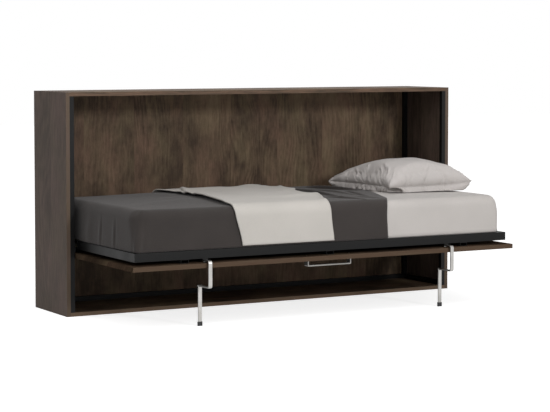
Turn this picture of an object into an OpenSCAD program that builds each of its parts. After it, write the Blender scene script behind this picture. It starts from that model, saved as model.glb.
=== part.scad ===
// Horizontal wall bed, drawn open: a shallow wooden cabinet holds a steel bed frame whose
// underside is the cabinet door. The bed turns up about two pins near the front of the cabinet.
// Millimetres. The origin is on the floor under the middle of the cabinet. X runs along the bed
// to the head end, Y runs back to the wall, Z is up.

/* [Mattress] */
// Length of the mattress
mattress_l = 2000; // [1600:5:2100]
// Width of the mattress
mattress_w = 890; // [780:5:900]
// Thickness of the mattress
mattress_t = 188; // [120:1:196]
// Radius of the upper edges of the mattress
mattress_edge = 42; // [30:1:55]
// Radius of the lower edges of the mattress
mattress_base_edge = 8; // [4:1:20]
// Radius of the upright corners of the mattress
mattress_corner = 40; // [30:1:80]
// Rise of the mattress top between its edges and its middle
mattress_crown = 5; // [2:0.5:9]

/* [Bed frame] */
// Height of the steel rails
rail_h = 40; // [36:1:50]
// Width of the steel rails
rail_t = 25; // [20:1:30]
// Wall of the steel rails
rail_wall = 2; // [1.5:0.5:3]
// Frame left bare beyond the head end of the mattress
head_margin = 37; // [20:1:60]
// Frame beyond the foot end of the mattress
foot_margin = 9; // [8:1:20]
// Frame in front of the mattress
front_margin = 4; // [3:1:8]
// Frame behind the mattress
back_margin = 9; // [8:1:14]
// Width of a cross bar between the frame and the door
cross_bar_w = 40; // [30:1:50]
// Height of a cross bar, which is the gap between the frame and the door
cross_bar_h = 18; // [17:1:24]
// Distance from the middle cross bar to each outer one
cross_bar_step = 770; // [500:5:800]
// Number of slats
slat_n = 15; // [9:2:21]
// Width of a slat
slat_w = 53; // [38:1:68]
// Thickness of a slat
slat_t = 8; // [8:0.5:10]
// Length of slat inside each slat holder
slat_grip = 22; // [15:1:30]
// Wall of a slat holder
holder_wall = 2.5; // [2:0.5:3.5]
// Height of a mattress stop above the frame
stop_h = 58; // [40:1:70]
// Width of a mattress stop
stop_w = 70; // [40:1:90]
// Thickness of a mattress stop
stop_t = 3; // [2:0.5:4]
// Length of a mattress stop that lies on the rail
stop_lap = 29; // [20:1:34]
// Distance of the outer screws of a cross bar from its ends
bar_screw_edge = 98; // [60:1:150]
// Gap between the ends of a cross bar and the frame's outer faces
bar_inset = 2; // [1:0.5:6]

/* [Door] */
// Thickness of the door panel
door_t = 22; // [19:1:24]
// Door beyond the front of the bed frame
door_lip_front = 32; // [26:1:36]
// Door behind the back of the bed frame
door_lip_back = 60; // [50:1:63]
// Door beyond each end of the bed frame
door_lip_side = 22; // [20:1:24]
// Height of the door above the floor while the bed is open
door_z = 278; // [270:1:300]

/* [Cabinet] */
// Depth of the cabinet
cabinet_d = 400; // [396:1:440]
// Thickness of the side, top and bottom panels
board_t = 19; // [18:1:22]
// Thickness of the back panel
back_t = 14; // [10:1:16]
// Gap above the closed door, through which the leg brackets pass
door_gap_top = 27; // [26:1:34]
// Gap below the closed door
door_gap_bottom = 10; // [8:1:14]
// Gap at each end of the door
door_gap_side = 7; // [6.7:0.1:9]
// Side of the square steel tube inside the cabinet
tube_w = 22; // [20:1:25]
// Wall of the square steel tube
tube_wall = 2; // [1.5:0.5:3]
// Distance of the outermost post screws from the top and bottom panels
post_screw_edge = 82; // [60:1:110]
// Distance of the outermost back screws from the side panels
back_screw_edge = 172; // [100:1:300]

/* [Pivot] */
// Height of the pivot pins above the floor
pivot_z = 330; // [329:0.5:331]
// Diameter of a pivot pin
pivot_d = 14; // [12:0.5:14]
// Wall of the plain bush around a pivot pin
bush_wall = 2; // [1.5:0.5:2.5]
// Thickness of the pivot plate on the bed frame
pivot_plate_t = 6; // [5:0.5:7]
// Thickness of the pivot bracket on the cabinet frame
pivot_bracket_t = 6; // [5:0.5:6]
// Diameter of the shoulder on a pivot pin
shoulder_d = 22; // [20:1:24]
// Thickness of the flange on the bush
flange_t = 2; // [1.5:0.5:2.5]
// Rim of the flange around the bush
flange_rim = 2; // [1:0.5:3]
// Distance from the pivot to the nearest edges of the pivot bracket
bracket_rim = 22; // [18:1:26]
// Distance of the pivot bracket behind the front of the post
bracket_back = 3; // [0:1:6]
// Length of the pivot plate in front of the pivot
plate_front = 26; // [22:1:28]

/* [Gas springs] */
// Height of the upper spring stud above the floor
spring_top_z = 580; // [570:1:600]
// Distance of the upper spring stud behind the pivot
spring_top_back = 80; // [70:1:100]
// Distance of the lower spring stud behind the pivot
spring_low_back = 100; // [90:1:105]
// Height of the lower spring stud above the pivot
spring_low_up = 5; // [0:1:8]
// Diameter of the spring tube
spring_tube_d = 18; // [16:1:18]
// Diameter of the spring rod
spring_rod_d = 8; // [6:1:10]
// Length of rod that shows between the tube and the rod eye while the bed is open
spring_rod_show = 12; // [8:1:20]
// Diameter of the eyes at the spring ends
spring_eye_d = 18; // [16:1:18]
// Thickness of the eyes at the spring ends
spring_eye_t = 10; // [8:0.5:10]
// Diameter of the studs that carry the springs
stud_d = 8; // [7:0.5:9]
// Rim of the collars on the spring studs
collar_rim = 2; // [1:0.5:3]
// Thickness of the collars on the spring studs
collar_t = 2; // [1.5:0.5:2.4]
// Gap between the pivot plate and the spring eye
spring_plate_gap = 3; // [2.7:0.1:3.5]
// Length of neck that shows between an eye and the spring tube
spring_neck = 5; // [3:0.5:8]
// How much wider than the rod the neck is all round
neck_rim = 1.5; // [1:0.5:2]
// Thickness of the closed end of the spring tube
tube_cap = 3; // [2:0.5:5]

/* [Legs] */
// Distance of each leg from the middle of the bed
leg_x = 666; // [500:1:700]
// Width of the flat bar of the legs
leg_w = 18; // [17:1:26]
// Thickness of the flat bar of the legs
leg_t = 6; // [5:0.5:7]
// Gap between the door edge and the upper bar of a leg
leg_door_gap = 13; // [11:0.5:14]
// Height of the step in the leg above the floor
leg_step_z = 187; // [160:1:200]
// Length of the step that carries the foot back under the door
leg_step = 105; // [80:1:120]
// Length of the leg bracket held between the frame and the door
leg_tail = 80; // [60:1:90]
// Diameter of the knuckles of the leg hinge
knuckle_d = 10; // [9:0.5:12]
// Radius of the bends in the leg bracket
leg_bend = 11; // [7:0.5:12]
// Width of the middle knuckle of the leg hinge
tongue_w = 8; // [7:0.5:9]
// Gap between a knuckle and the bar beside it
knuckle_gap = 1.5; // [1:0.5:3]
// Diameter of the leg hinge pin
leg_pin_d = 5; // [4:0.5:6]
// Rim of the heads on the leg hinge pin
pin_head_rim = 1.5; // [1:0.5:2.5]
// Thickness of the heads on the leg hinge pin
pin_head_t = 1.7; // [1:0.1:2.5]
// Diameter of the bolts that hold the legs to the front rail
leg_bolt_d = 8; // [6:1:8]
// Height of the heads of the leg bolts
leg_bolt_head_h = 4.5; // [4:0.5:5]
// How far the leg bolts stand out of their nuts
leg_bolt_end = 3; // [1:0.5:5]
// Rim of the spacer beside the leg bracket
spacer_rim = 4; // [0:1:8]
// Height of the rubber foot
foot_h = 20; // [14:1:26]
// Wall of the rubber foot
foot_wall = 1.8; // [1.5:0.1:2.5]

/* [Handle] */
// Length of the handle
handle_l = 240; // [180:1:300]
// Width of the handle strip
handle_w = 32; // [24:1:36]
// Thickness of the handle strip
handle_t = 6; // [5:0.5:8]
// How far the handle stands below the door
handle_drop = 30; // [26:1:40]
// Distance from the door edge to the handle
handle_inset = 38; // [20:1:45]
// Diameter of the handle screws
handle_screw_d = 3; // [2.5:0.5:4]
// Length of the handle screws in the handle
handle_screw_bite = 10; // [6:1:14]

/* [Bedding] */
// Thickness of the cover at the foot end
cover_t = 3; // [2:0.5:4]
// Thickness of the folded throw
throw_t = 4; // [2:0.5:5]
// Height of the hems above the top of the frame
hem_gap = 2; // [1:0.5:10]
// Length of the cover along the front edge, from the foot end
cover_front_l = 1342; // [900:1:1450]
// How much further the cover reaches at the back edge
cover_skew = 130; // [0:1:160]
// Distance from the foot end to the throw along the front edge
throw_start = 512; // [300:1:700]
// Width of the throw along the front edge
throw_l = 540; // [300:1:700]
// How much further the throw reaches at the back edge
throw_skew = 190; // [0:1:260]
// Height of the raised fold in the throw
fold_h = 22; // [10:1:30]
// Length of the raised fold between the middles of its ends
fold_l = 405; // [250:5:450]
// Distance of the raised fold from the left edge of the throw
fold_inset = 189; // [120:1:240]
// Distance of the raised fold from the back edge of the mattress
fold_back = 178; // [120:1:250]
// How much nearer the back edge the right end of the fold lies
fold_skew = 53; // [0:1:60]
// How much lower than the left end of the fold the right end is
fold_fall = 8; // [0:1:8]
// Length of the pillow along the bed
pillow_l = 500; // [450:5:560]
// Width of the pillow across the bed
pillow_w = 580; // [400:5:640]
// Height of the pillow above the mattress
pillow_h = 160; // [100:1:165]
// Height of the pillow seam above the mattress
pillow_seam = 34; // [20:1:45]
// Turn of the pillow on the mattress
pillow_turn = 1; // [-8:1:8]
// Gap between the pillow and the head end of the mattress
pillow_inset = 2; // [0:1:80]
// How much further back than the middle of the mattress the pillow lies
pillow_shift = 97; // [0:1:110]

/* [Fasteners] */
// Diameter of the wood screws
screw_d = 4; // [3:0.5:5]
// Diameter of the wood screw heads
screw_head_d = 8; // [7:0.5:9]
// Height of the wood screw heads
screw_head_h = 2.5; // [2:0.5:3]
// Length of the screws that hold the steel tubes to the panels
frame_screw_l = 36; // [34:1:38]
// Diameter of the cam locks that join the panels
cam_d = 15; // [12:1:18]
// Depth of the cam locks
cam_h = 12.5; // [10:0.5:13]
// Distance of the cam locks from the front and back edges
cam_edge = 56; // [40:1:80]
// Distance of the cam locks from the panel end
cam_reach = 34; // [24:1:40]
// Depth of the door screws in the door
door_screw_bite = 15; // [10:0.5:16]
// Diameter of the cam bolts
cam_bolt_d = 7; // [6:0.5:8]
// Depth of the cam bolts in the side panels
cam_bolt_grip = 11; // [8:1:14]
// Diameter of the holes for the bolts that hold the bed to the wall
wall_hole_d = 9; // [8:0.5:10]
// Upright distance between the wall holes
wall_hole_step = 840; // [700:5:850]

/* [Clearances] */
// Gap between a soft piece and what it rests on
soft_gap = 0.3; // [0.2:0.05:0.5]
// Radial play of pins and screws in their holes
pin_play = 0.05; // [0.03:0.01:0.1]
// Gap beside turning parts
side_play = 0.3; // [0.2:0.05:0.5]

/* [Hidden] */
LEFT = -1;
RIGHT = 1;
wood = [0.29, 0.24, 0.20];
steel = [0.12, 0.12, 0.13];
chrome = [0.78, 0.78, 0.80];
zinc = [0.62, 0.62, 0.60];

// Bed frame, worked out from the mattress
frame_l = mattress_l + head_margin + foot_margin;
frame_w = mattress_w + front_margin + back_margin;
frame_x = frame_l / 2;
door_top_z = door_z + door_t;
frame_z = door_top_z + cross_bar_h;
frame_top_z = frame_z + rail_h;
door_x = frame_x + door_lip_side;
door_w = frame_w + door_lip_front + door_lip_back;

// Cabinet, worked out from the door
post_x = door_x + door_gap_side;
panel_x = post_x + tube_w;
cabinet_x = panel_x + board_t;
cabinet_h = 2 * board_t + door_gap_bottom + door_w + door_gap_top;
inner_h = cabinet_h - 2 * board_t;
front_y = -cabinet_d / 2;
wall_y = cabinet_d / 2;
back_y = wall_y - back_t;
post_back_y = back_y - tube_w;

// Pivot, set so that the closed door is flush with the front of the cabinet
pivot_y = front_y + pivot_z - door_z;
door_front_y = pivot_y - (cabinet_h - board_t - door_gap_top - pivot_z);
frame_front_y = door_front_y + door_lip_front;
frame_back_y = frame_front_y + frame_w;
bush_d = pivot_d + 2 * pin_play + 2 * bush_wall;
plate_x = frame_x + pivot_plate_t;
bracket_x = post_x - pivot_bracket_t;
plate_back = spring_low_back - spring_eye_d;

// Gas springs
spring_x = plate_x + spring_plate_gap + spring_eye_t / 2;
spring_top_y = pivot_y + spring_top_back;
spring_low_y = pivot_y + spring_low_back;
spring_low_z = pivot_z + spring_low_up;
spring_turn = atan2(spring_low_y - spring_top_y, spring_top_z - spring_low_z);
spring_len = norm([spring_low_y - spring_top_y, spring_top_z - spring_low_z]);
closed_low_y = pivot_y + spring_low_up;
closed_low_z = pivot_z - spring_low_back;
closed_turn = atan2(closed_low_y - spring_top_y, spring_top_z - closed_low_z);
closed_len = norm([closed_low_y - spring_top_y, spring_top_z - closed_low_z]);
tube_start = spring_eye_d / 2 + spring_neck;
tube_end = spring_len - spring_eye_d / 2 - spring_rod_show;
eye_neck_d = spring_rod_d + 2 * neck_rim;
collar_d = stud_d + 2 * collar_rim;

// Legs
leg_outer_y = door_front_y - leg_door_gap - leg_t;
leg_strap_z = door_top_z + (cross_bar_h - leg_t) / 2;
leg_pin_y = leg_outer_y + leg_step + leg_t / 2;
tongue_l = knuckle_d / 2 + knuckle_gap;

// Bedding
mattress_z = frame_top_z + soft_gap;
mattress_top_z = mattress_z + mattress_t;
mattress_foot_x = -frame_x + foot_margin;
mattress_head_x = mattress_foot_x + mattress_l;
mattress_front_y = frame_front_y + front_margin;
mattress_mid = [(mattress_foot_x + mattress_head_x) / 2, mattress_front_y + mattress_w / 2];
hem_z = frame_top_z + hem_gap;
cover_x = mattress_foot_x + cover_front_l;
throw_x = mattress_foot_x + throw_start;
cover_grow = 2 * soft_gap + cover_t;
pillow_rest_z = mattress_top_z + mattress_crown + soft_gap;
pillow_x = mattress_head_x - pillow_inset - pillow_l / 2;
pillow_y = mattress_mid[1] + pillow_shift;

// How far cuts run past the faces they open, and joined solids into each other
lap = 1;

// Steps of the curved solids
corner_steps = 6;
edge_steps = 5;
base_steps = 3;
crown_rings = 3;
pillow_grid = 20;
screw_fn = 24;
round_fn = 48;

// A square tube lying along X, Y or Z from corner to corner, hollow along its length
module tube(low, size, axis, wall) {
    hollow = [for (i = [0:2]) i == axis ? size[i] + 2 * lap : size[i] - 2 * wall];
    start = [for (i = [0:2]) i == axis ? low[i] - lap : low[i] + wall];
    difference() {
        translate(low) cube(size);
        translate(start) cube(hollow);
    }
}

// A round bar or hole along X between two places
module x_rod(x1, x2, y, z, d, fn = round_fn) {
    translate([min(x1, x2), y, z]) rotate([0, 90, 0]) cylinder(d = d, h = abs(x2 - x1), $fn = fn);
}

// A round bar or hole along Y between two places
module y_rod(x, y1, y2, z, d, fn = round_fn) {
    translate([x, y2, z]) rotate([90, 0, 0]) cylinder(d = d, h = y2 - y1, $fn = fn);
}

// Heights of the screws that hold each steel post to its side panel
post_screw_zs = [for (i = [0:3]) board_t + post_screw_edge + i * (inner_h - 2 * post_screw_edge) / 3];
// Places along Y of the cam locks
cam_ys = [front_y + cam_edge, back_y - cam_edge];
// Heights of the wall holes
wall_zs = [for (s = [-1, 1]) cabinet_h / 2 + s * wall_hole_step / 2];
// Middle heights of the rails between the front and rear posts
side_rail_zs = [board_t + tube_w / 2, pivot_z, spring_top_z];
// Places of the screws through the back panel into the rear rail
back_screw_xs = [for (i = [-2:2]) i * (panel_x - back_screw_edge) / 2];

module frame_screw_holes(side, d) {
    for (y = [front_y + tube_w / 2, back_y - tube_w / 2])
        for (z = post_screw_zs)
            x_rod(side * (post_x - lap), side * (post_x + frame_screw_l), y, z, d, screw_fn);
}

module side_panel(side) {
    low_x = side > 0 ? panel_x : -cabinet_x;
    difference() {
        color(wood) translate([low_x, front_y, 0]) cube([board_t, cabinet_d, cabinet_h]);
        frame_screw_holes(side, screw_d + 2 * pin_play);
        for (y = cam_ys, z = [board_t / 2, cabinet_h - board_t / 2])
            x_rod(side * (panel_x - lap), side * (panel_x + cam_bolt_grip), y, z,
                cam_bolt_d + 2 * pin_play, screw_fn);
    }
}

module flat_panel(z, cam_low_z) {
    difference() {
        color(wood) translate([-panel_x, front_y, z]) cube([2 * panel_x, cabinet_d, board_t]);
        for (s = [LEFT, RIGHT], y = cam_ys) {
            translate([s * (panel_x - cam_reach), y, cam_low_z])
                cylinder(d = cam_d + 2 * pin_play, h = cam_h, $fn = round_fn);
            x_rod(s * (panel_x - cam_reach), s * (panel_x + lap), y, z + board_t / 2,
                cam_bolt_d + 2 * pin_play, screw_fn);
        }
    }
}

module top_panel() {
    flat_panel(cabinet_h - board_t, cabinet_h - board_t);
}

module bottom_panel() {
    flat_panel(0, board_t - cam_h);
}

module back_panel() {
    difference() {
        color(wood) translate([-panel_x, back_y, board_t]) cube([2 * panel_x, back_t, inner_h]);
        for (s = [LEFT, RIGHT], z = wall_zs)
            y_rod(s * (post_x + tube_w / 2), back_y - lap, wall_y + lap, z, wall_hole_d);
        for (x = back_screw_xs) back_screw(x, pin_play);
    }
}

module post(side, y) {
    low_x = side > 0 ? post_x : -post_x - tube_w;
    difference() {
        color(steel) tube([low_x, y, board_t], [tube_w, tube_w, inner_h], 2, tube_wall);
        frame_screw_holes(side, screw_d + 2 * pin_play);
        if (y > 0)
            for (z = wall_zs)
                y_rod(side * (post_x + tube_w / 2), y - lap, back_y + lap, z, wall_hole_d);
    }
}

module side_rails(side) {
    low_x = side > 0 ? post_x : -post_x - tube_w;
    low_y = front_y + tube_w;
    color(steel) for (z = side_rail_zs)
        tube([low_x, low_y, z - tube_w / 2], [tube_w, post_back_y - low_y, tube_w], 1, tube_wall);
}

module rear_rail() {
    difference() {
        color(steel) tube([-post_x, post_back_y, board_t], [2 * post_x, tube_w, tube_w], 0, tube_wall);
        for (x = back_screw_xs) back_screw(x, pin_play);
    }
}

module back_screw(x, play) {
    z = board_t + tube_w / 2;
    y_rod(x, back_y - tube_w / 2, wall_y - screw_head_h, z, screw_d + 2 * play, screw_fn);
    y_rod(x, wall_y - screw_head_h - play, wall_y + play, z, screw_head_d + 2 * play, screw_fn);
}

module back_screws() {
    color(zinc) for (x = back_screw_xs) back_screw(x, 0);
}

module frame_screws() {
    color(steel) for (side = [LEFT, RIGHT], y = [front_y + tube_w / 2, back_y - tube_w / 2])
        for (z = post_screw_zs) {
            x_rod(side * (post_x - screw_head_h), side * (post_x + frame_screw_l), y, z, screw_d, screw_fn);
            x_rod(side * (post_x - screw_head_h), side * post_x, y, z, screw_head_d, screw_fn);
        }
}

module cam_locks() {
    color(zinc) for (s = [LEFT, RIGHT], y = cam_ys, low = [board_t - cam_h, cabinet_h - board_t])
        difference() {
            translate([s * (panel_x - cam_reach), y, low]) cylinder(d = cam_d, h = cam_h, $fn = round_fn);
            x_rod(s * (panel_x - cam_reach), s * panel_x, y,
                low < board_t ? board_t / 2 : cabinet_h - board_t / 2, cam_bolt_d + 2 * pin_play,
                screw_fn);
        }
}

module cam_bolts() {
    color(zinc) for (s = [LEFT, RIGHT], y = cam_ys, z = [board_t / 2, cabinet_h - board_t / 2])
        x_rod(s * (panel_x - cam_reach + lap), s * (panel_x + cam_bolt_grip), y, z, cam_bolt_d, screw_fn);
}

module pivot_bracket(side) {
    low_x = side > 0 ? bracket_x : -bracket_x - pivot_bracket_t;
    low_y = front_y + bracket_back;
    difference() {
        color(steel) translate([low_x, low_y, pivot_z - bracket_rim])
            cube([pivot_bracket_t, pivot_y + bracket_rim - low_y, 2 * bracket_rim]);
        x_rod(side * (bracket_x - lap), side * (post_x + lap), pivot_y, pivot_z, pivot_d + 2 * pin_play);
    }
}

module pivot_pin(side) {
    color(zinc) {
        x_rod(side * (frame_x + lap), side * post_x, pivot_y, pivot_z, pivot_d);
        x_rod(side * (plate_x + flange_t + side_play), side * bracket_x, pivot_y, pivot_z, shoulder_d);
    }
}

module spring_stud(side) {
    inner = spring_x - spring_eye_t / 2 - side_play;
    color(zinc) {
        x_rod(side * (inner - collar_t), side * post_x, spring_top_y, spring_top_z, stud_d);
        x_rod(side * (inner - collar_t), side * inner, spring_top_y, spring_top_z, collar_d);
        x_rod(side * (spring_x + spring_eye_t / 2 + side_play), side * post_x, spring_top_y,
            spring_top_z, collar_d);
    }
}

// A rail of the bed frame with mitred ends, its outer face in the plane of X and Z
module rail(length) {
    color(steel) intersection() {
        tube([-length / 2, 0, frame_z], [length, rail_t, rail_h], 0, rail_wall);
        translate([0, 0, frame_z]) linear_extrude(rail_h) polygon([[-length / 2, 0],
            [length / 2, 0], [length / 2 - rail_t, rail_t], [rail_t - length / 2, rail_t]]);
    }
}

module front_rail() {
    difference() {
        translate([0, frame_front_y, 0]) rail(frame_l);
        for (side = [LEFT, RIGHT]) translate([side * leg_x, leg_bolt_y, frame_z - lap])
            cylinder(d = leg_bolt_d + 2 * pin_play, h = rail_wall + 2 * lap, $fn = screw_fn);
    }
}

module back_rail() {
    translate([0, frame_back_y, 0]) rotate(180) rail(frame_l);
}

module end_rail(side) {
    translate([side * frame_x, (frame_front_y + frame_back_y) / 2, 0]) rotate(side * 90) rail(frame_w);
}

module cross_bars() {
    color(steel) for (i = [-1:1]) difference() {
        tube([i * cross_bar_step - cross_bar_w / 2, frame_front_y + bar_inset, door_top_z],
            [cross_bar_w, frame_w - 2 * bar_inset, cross_bar_h], 1, rail_wall);
        for (y = door_screw_ys) door_screw(i * cross_bar_step, y, pin_play);
    }
}

// Places along Y of the screws through a cross bar into the door
door_screw_ys = [for (i = [0:3]) frame_front_y + bar_inset + bar_screw_edge
    + i * (frame_w - 2 * (bar_inset + bar_screw_edge)) / 3];

module door_screw(x, y, play) {
    translate([x, y, door_top_z - door_screw_bite])
        cylinder(d = screw_d + 2 * play, h = door_screw_bite + cross_bar_h + screw_head_h, $fn = screw_fn);
    translate([x, y, frame_z]) cylinder(d = screw_head_d, h = screw_head_h, $fn = screw_fn);
}

module door_screws() {
    color(zinc) for (i = [-1:1], y = door_screw_ys) door_screw(i * cross_bar_step, y, 0);
}

// The slats are spread evenly between the end rails
slat_pitch = (frame_l - 2 * rail_t) / slat_n;
slat_xs = [for (i = [0:slat_n - 1]) -frame_x + rail_t + slat_pitch * (i + 0.5)];
holder_h = slat_t + 2 * holder_wall;
holder_z = frame_top_z - holder_h;
slat_y1 = frame_front_y + rail_t + holder_wall;
slat_y2 = frame_back_y - rail_t - holder_wall;

module slats() {
    color([0.80, 0.68, 0.50]) for (x = slat_xs)
        translate([x - slat_w / 2, slat_y1 + pin_play, holder_z + holder_wall + pin_play])
            cube([slat_w, slat_y2 - slat_y1 - 2 * pin_play, slat_t - 2 * pin_play]);
}

module slat_holders() {
    color([0.08, 0.08, 0.08]) for (x = slat_xs, s = [-1, 1]) {
        low_y = s < 0 ? frame_front_y + rail_t : slat_y2 - slat_grip;
        low_pocket = s < 0 ? slat_y1 : slat_y2 - slat_grip - lap;
        difference() {
            translate([x - slat_w / 2 - holder_wall, low_y, holder_z])
                cube([slat_w + 2 * holder_wall, slat_grip + holder_wall, holder_h]);
            translate([x - slat_w / 2 - pin_play, low_pocket, holder_z + holder_wall])
                cube([slat_w + 2 * pin_play, slat_grip + lap, slat_t]);
        }
    }
}

module mattress_stops() {
    color(steel) for (i = [-1:1])
        translate([i * cross_bar_step - stop_w / 2, frame_back_y, frame_top_z - stop_lap])
            cube([stop_w, stop_t, stop_lap + stop_h]);
}

// The plate is welded to the outer face of the frame end and reaches back to the spring stud
module pivot_plate(side) {
    low_x = side > 0 ? frame_x : -plate_x;
    difference() {
        color(steel) translate([low_x, pivot_y - plate_front, frame_z])
            cube([pivot_plate_t, plate_front + plate_back, rail_h]);
        x_rod(side * (frame_x - lap), side * (plate_x + lap), pivot_y, pivot_z, bush_d + 2 * pin_play);
    }
}

module bush(side) {
    color([0.55, 0.42, 0.20]) difference() {
        union() {
            x_rod(side * frame_x, side * plate_x, pivot_y, pivot_z, bush_d);
            x_rod(side * plate_x, side * (plate_x + flange_t), pivot_y, pivot_z, bush_d + 2 * flange_rim);
        }
        x_rod(side * (frame_x - lap), side * (plate_x + flange_t + lap), pivot_y, pivot_z,
            pivot_d + 2 * pin_play);
    }
}

module lower_stud(side) {
    color(zinc) {
        x_rod(side * frame_x, side * (spring_x - spring_eye_t / 2 - side_play), spring_low_y,
            spring_low_z, stud_d);
        x_rod(side * frame_x, side * (frame_x + collar_t), spring_low_y, spring_low_z, collar_d);
    }
}

module door_panel() {
    difference() {
        color(wood) translate([-door_x, door_front_y, door_z]) cube([2 * door_x, door_w, door_t]);
        for (i = [-1:1], y = door_screw_ys) door_screw(i * cross_bar_step, y, pin_play);
        for (s = [-1, 1]) handle_screw(s, pin_play);
    }
}

// Handle: a flat strip bent twice, its legs screwed on from above the door
handle_y = door_front_y + handle_inset;
handle_screw_x = handle_l / 2 - handle_t / 2;

module handle_screw(s, play) {
    x = s * handle_screw_x;
    y = handle_y + handle_w / 2;
    translate([x, y, door_z - handle_screw_bite]) cylinder(d = handle_screw_d + 2 * play,
        h = handle_screw_bite + door_t - screw_head_h / 2, $fn = screw_fn);
    translate([x, y, door_top_z - screw_head_h - play])
        cylinder(d = screw_head_d + 2 * play, h = screw_head_h + 2 * play, $fn = screw_fn);
}

module handle_screws() {
    color(zinc) for (s = [-1, 1]) handle_screw(s, 0);
}

module handle() {
    difference() {
        color(chrome) translate([0, handle_y + handle_w, 0]) rotate([90, 0, 0])
            linear_extrude(handle_w) difference() {
                hull() {
                    for (s = [-1, 1]) translate([s * (handle_l / 2 - handle_t), door_z - handle_drop
                        + handle_t]) circle(r = handle_t, $fn = 32);
                    translate([-handle_l / 2, door_z - lap]) square([handle_l, lap]);
                }
                translate([-handle_l / 2 + handle_t, door_z - handle_drop + handle_t])
                    square([handle_l - 2 * handle_t, handle_drop]);
            }
        for (s = [-1, 1]) handle_screw(s, pin_play);
    }
}

// One strip of flat bar in the YZ plane, with round bends and square ends
module bent_strip(points, width, thickness) {
    last = len(points) - 1;
    rotate([90, 0, 90]) translate([0, 0, -width / 2]) linear_extrude(width) {
        for (i = [0:last - 1]) strip_leg(points[i], points[i + 1], thickness);
        for (i = [1:last - 1]) translate(points[i]) circle(d = thickness, $fn = 32);
    }
}

module strip_leg(a, b, thickness) {
    d = b - a;
    translate(a) rotate(atan2(d[1], d[0])) translate([0, -thickness / 2])
        square([norm(d), thickness]);
}

// Middle line of the fixed leg bracket: tail in the gap, upper bar in front of the door, step
bar_mid_y = leg_outer_y + leg_t / 2;
strap_mid_z = leg_strap_z + leg_t / 2;
bend_steps = 3;
function bend(y, z, from) = [for (k = [0:bend_steps]) let (a = from + 90 * k / bend_steps)
    [y + leg_bend * cos(a), z + leg_bend * sin(a)]];
bracket_line = concat(
    [[bar_mid_y + leg_bend + leg_tail, strap_mid_z]],
    bend(bar_mid_y + leg_bend, strap_mid_z - leg_bend, 90),
    bend(bar_mid_y + leg_bend, leg_step_z + leg_bend, 180),
    [[leg_pin_y - tongue_l, leg_step_z]]);
leg_bolt_y = frame_front_y + rail_t / 2;
// Sizes of a bolt head and a nut in bolt diameters
bolt_head_ratio = 1.8;
nut_ratio = 1.7;
nut_h_ratio = 0.6;

module leg_bracket(side) {
    translate([side * leg_x, 0, 0]) difference() {
        color(chrome) union() {
            bent_strip(bracket_line, leg_w, leg_t);
            translate([-tongue_w / 2, leg_pin_y - tongue_l - lap, leg_step_z - leg_t / 2])
                cube([tongue_w, tongue_l + lap, leg_t]);
            x_rod(-tongue_w / 2, tongue_w / 2, leg_pin_y, leg_step_z, knuckle_d);
        }
        x_rod(-leg_w, leg_w, leg_pin_y, leg_step_z, leg_pin_d + 2 * pin_play);
        translate([0, leg_bolt_y, leg_strap_z - lap])
            cylinder(d = leg_bolt_d + 2 * pin_play, h = leg_t + 2 * lap, $fn = screw_fn);
    }
}

module leg_bar(side) {
    ear = (leg_w - tongue_w) / 2 - side_play;
    translate([side * leg_x, 0, 0]) difference() {
        color(chrome) union() {
            translate([-leg_w / 2, leg_pin_y - leg_t / 2, foot_wall])
                cube([leg_w, leg_t, leg_step_z - tongue_l - foot_wall]);
            for (s = [-1, 1]) {
                low_x = s < 0 ? -leg_w / 2 : leg_w / 2 - ear;
                translate([low_x, leg_pin_y - leg_t / 2, leg_step_z - tongue_l - lap])
                    cube([ear, leg_t, tongue_l + lap]);
                x_rod(low_x, low_x + ear, leg_pin_y, leg_step_z, knuckle_d);
            }
        }
        x_rod(-leg_w, leg_w, leg_pin_y, leg_step_z, leg_pin_d + 2 * pin_play);
    }
}

module leg_pin(side) {
    head = leg_w / 2 + side_play;
    end = head + pin_head_t;
    color(zinc) translate([side * leg_x, 0, 0]) {
        x_rod(-end, end, leg_pin_y, leg_step_z, leg_pin_d);
        for (s = [-1, 1]) x_rod(s * head, s * end, leg_pin_y, leg_step_z, leg_pin_d + 2 * pin_head_rim);
    }
}

module foot(side) {
    size = [leg_w, leg_t] + 2 * (foot_wall + pin_play) * [1, 1];
    translate([side * leg_x, leg_pin_y, 0]) difference() {
        color([0.09, 0.09, 0.09]) translate([-size[0] / 2, -size[1] / 2, 0])
            cube([size[0], size[1], foot_h]);
        translate([-leg_w / 2 - pin_play, -leg_t / 2 - pin_play, foot_wall])
            cube([leg_w + 2 * pin_play, leg_t + 2 * pin_play, foot_h]);
    }
}

module leg_spacers() {
    size = [leg_w + 2 * spacer_rim, leg_outer_y + leg_tail + leg_bend - frame_front_y,
        frame_z - leg_strap_z - leg_t];
    color(steel) for (side = [LEFT, RIGHT]) difference() {
        translate([side * leg_x - size[0] / 2, frame_front_y, leg_strap_z + leg_t]) cube(size);
        translate([side * leg_x, leg_bolt_y, leg_strap_z])
            cylinder(d = leg_bolt_d + 2 * pin_play, h = cross_bar_h, $fn = screw_fn);
    }
}

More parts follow.
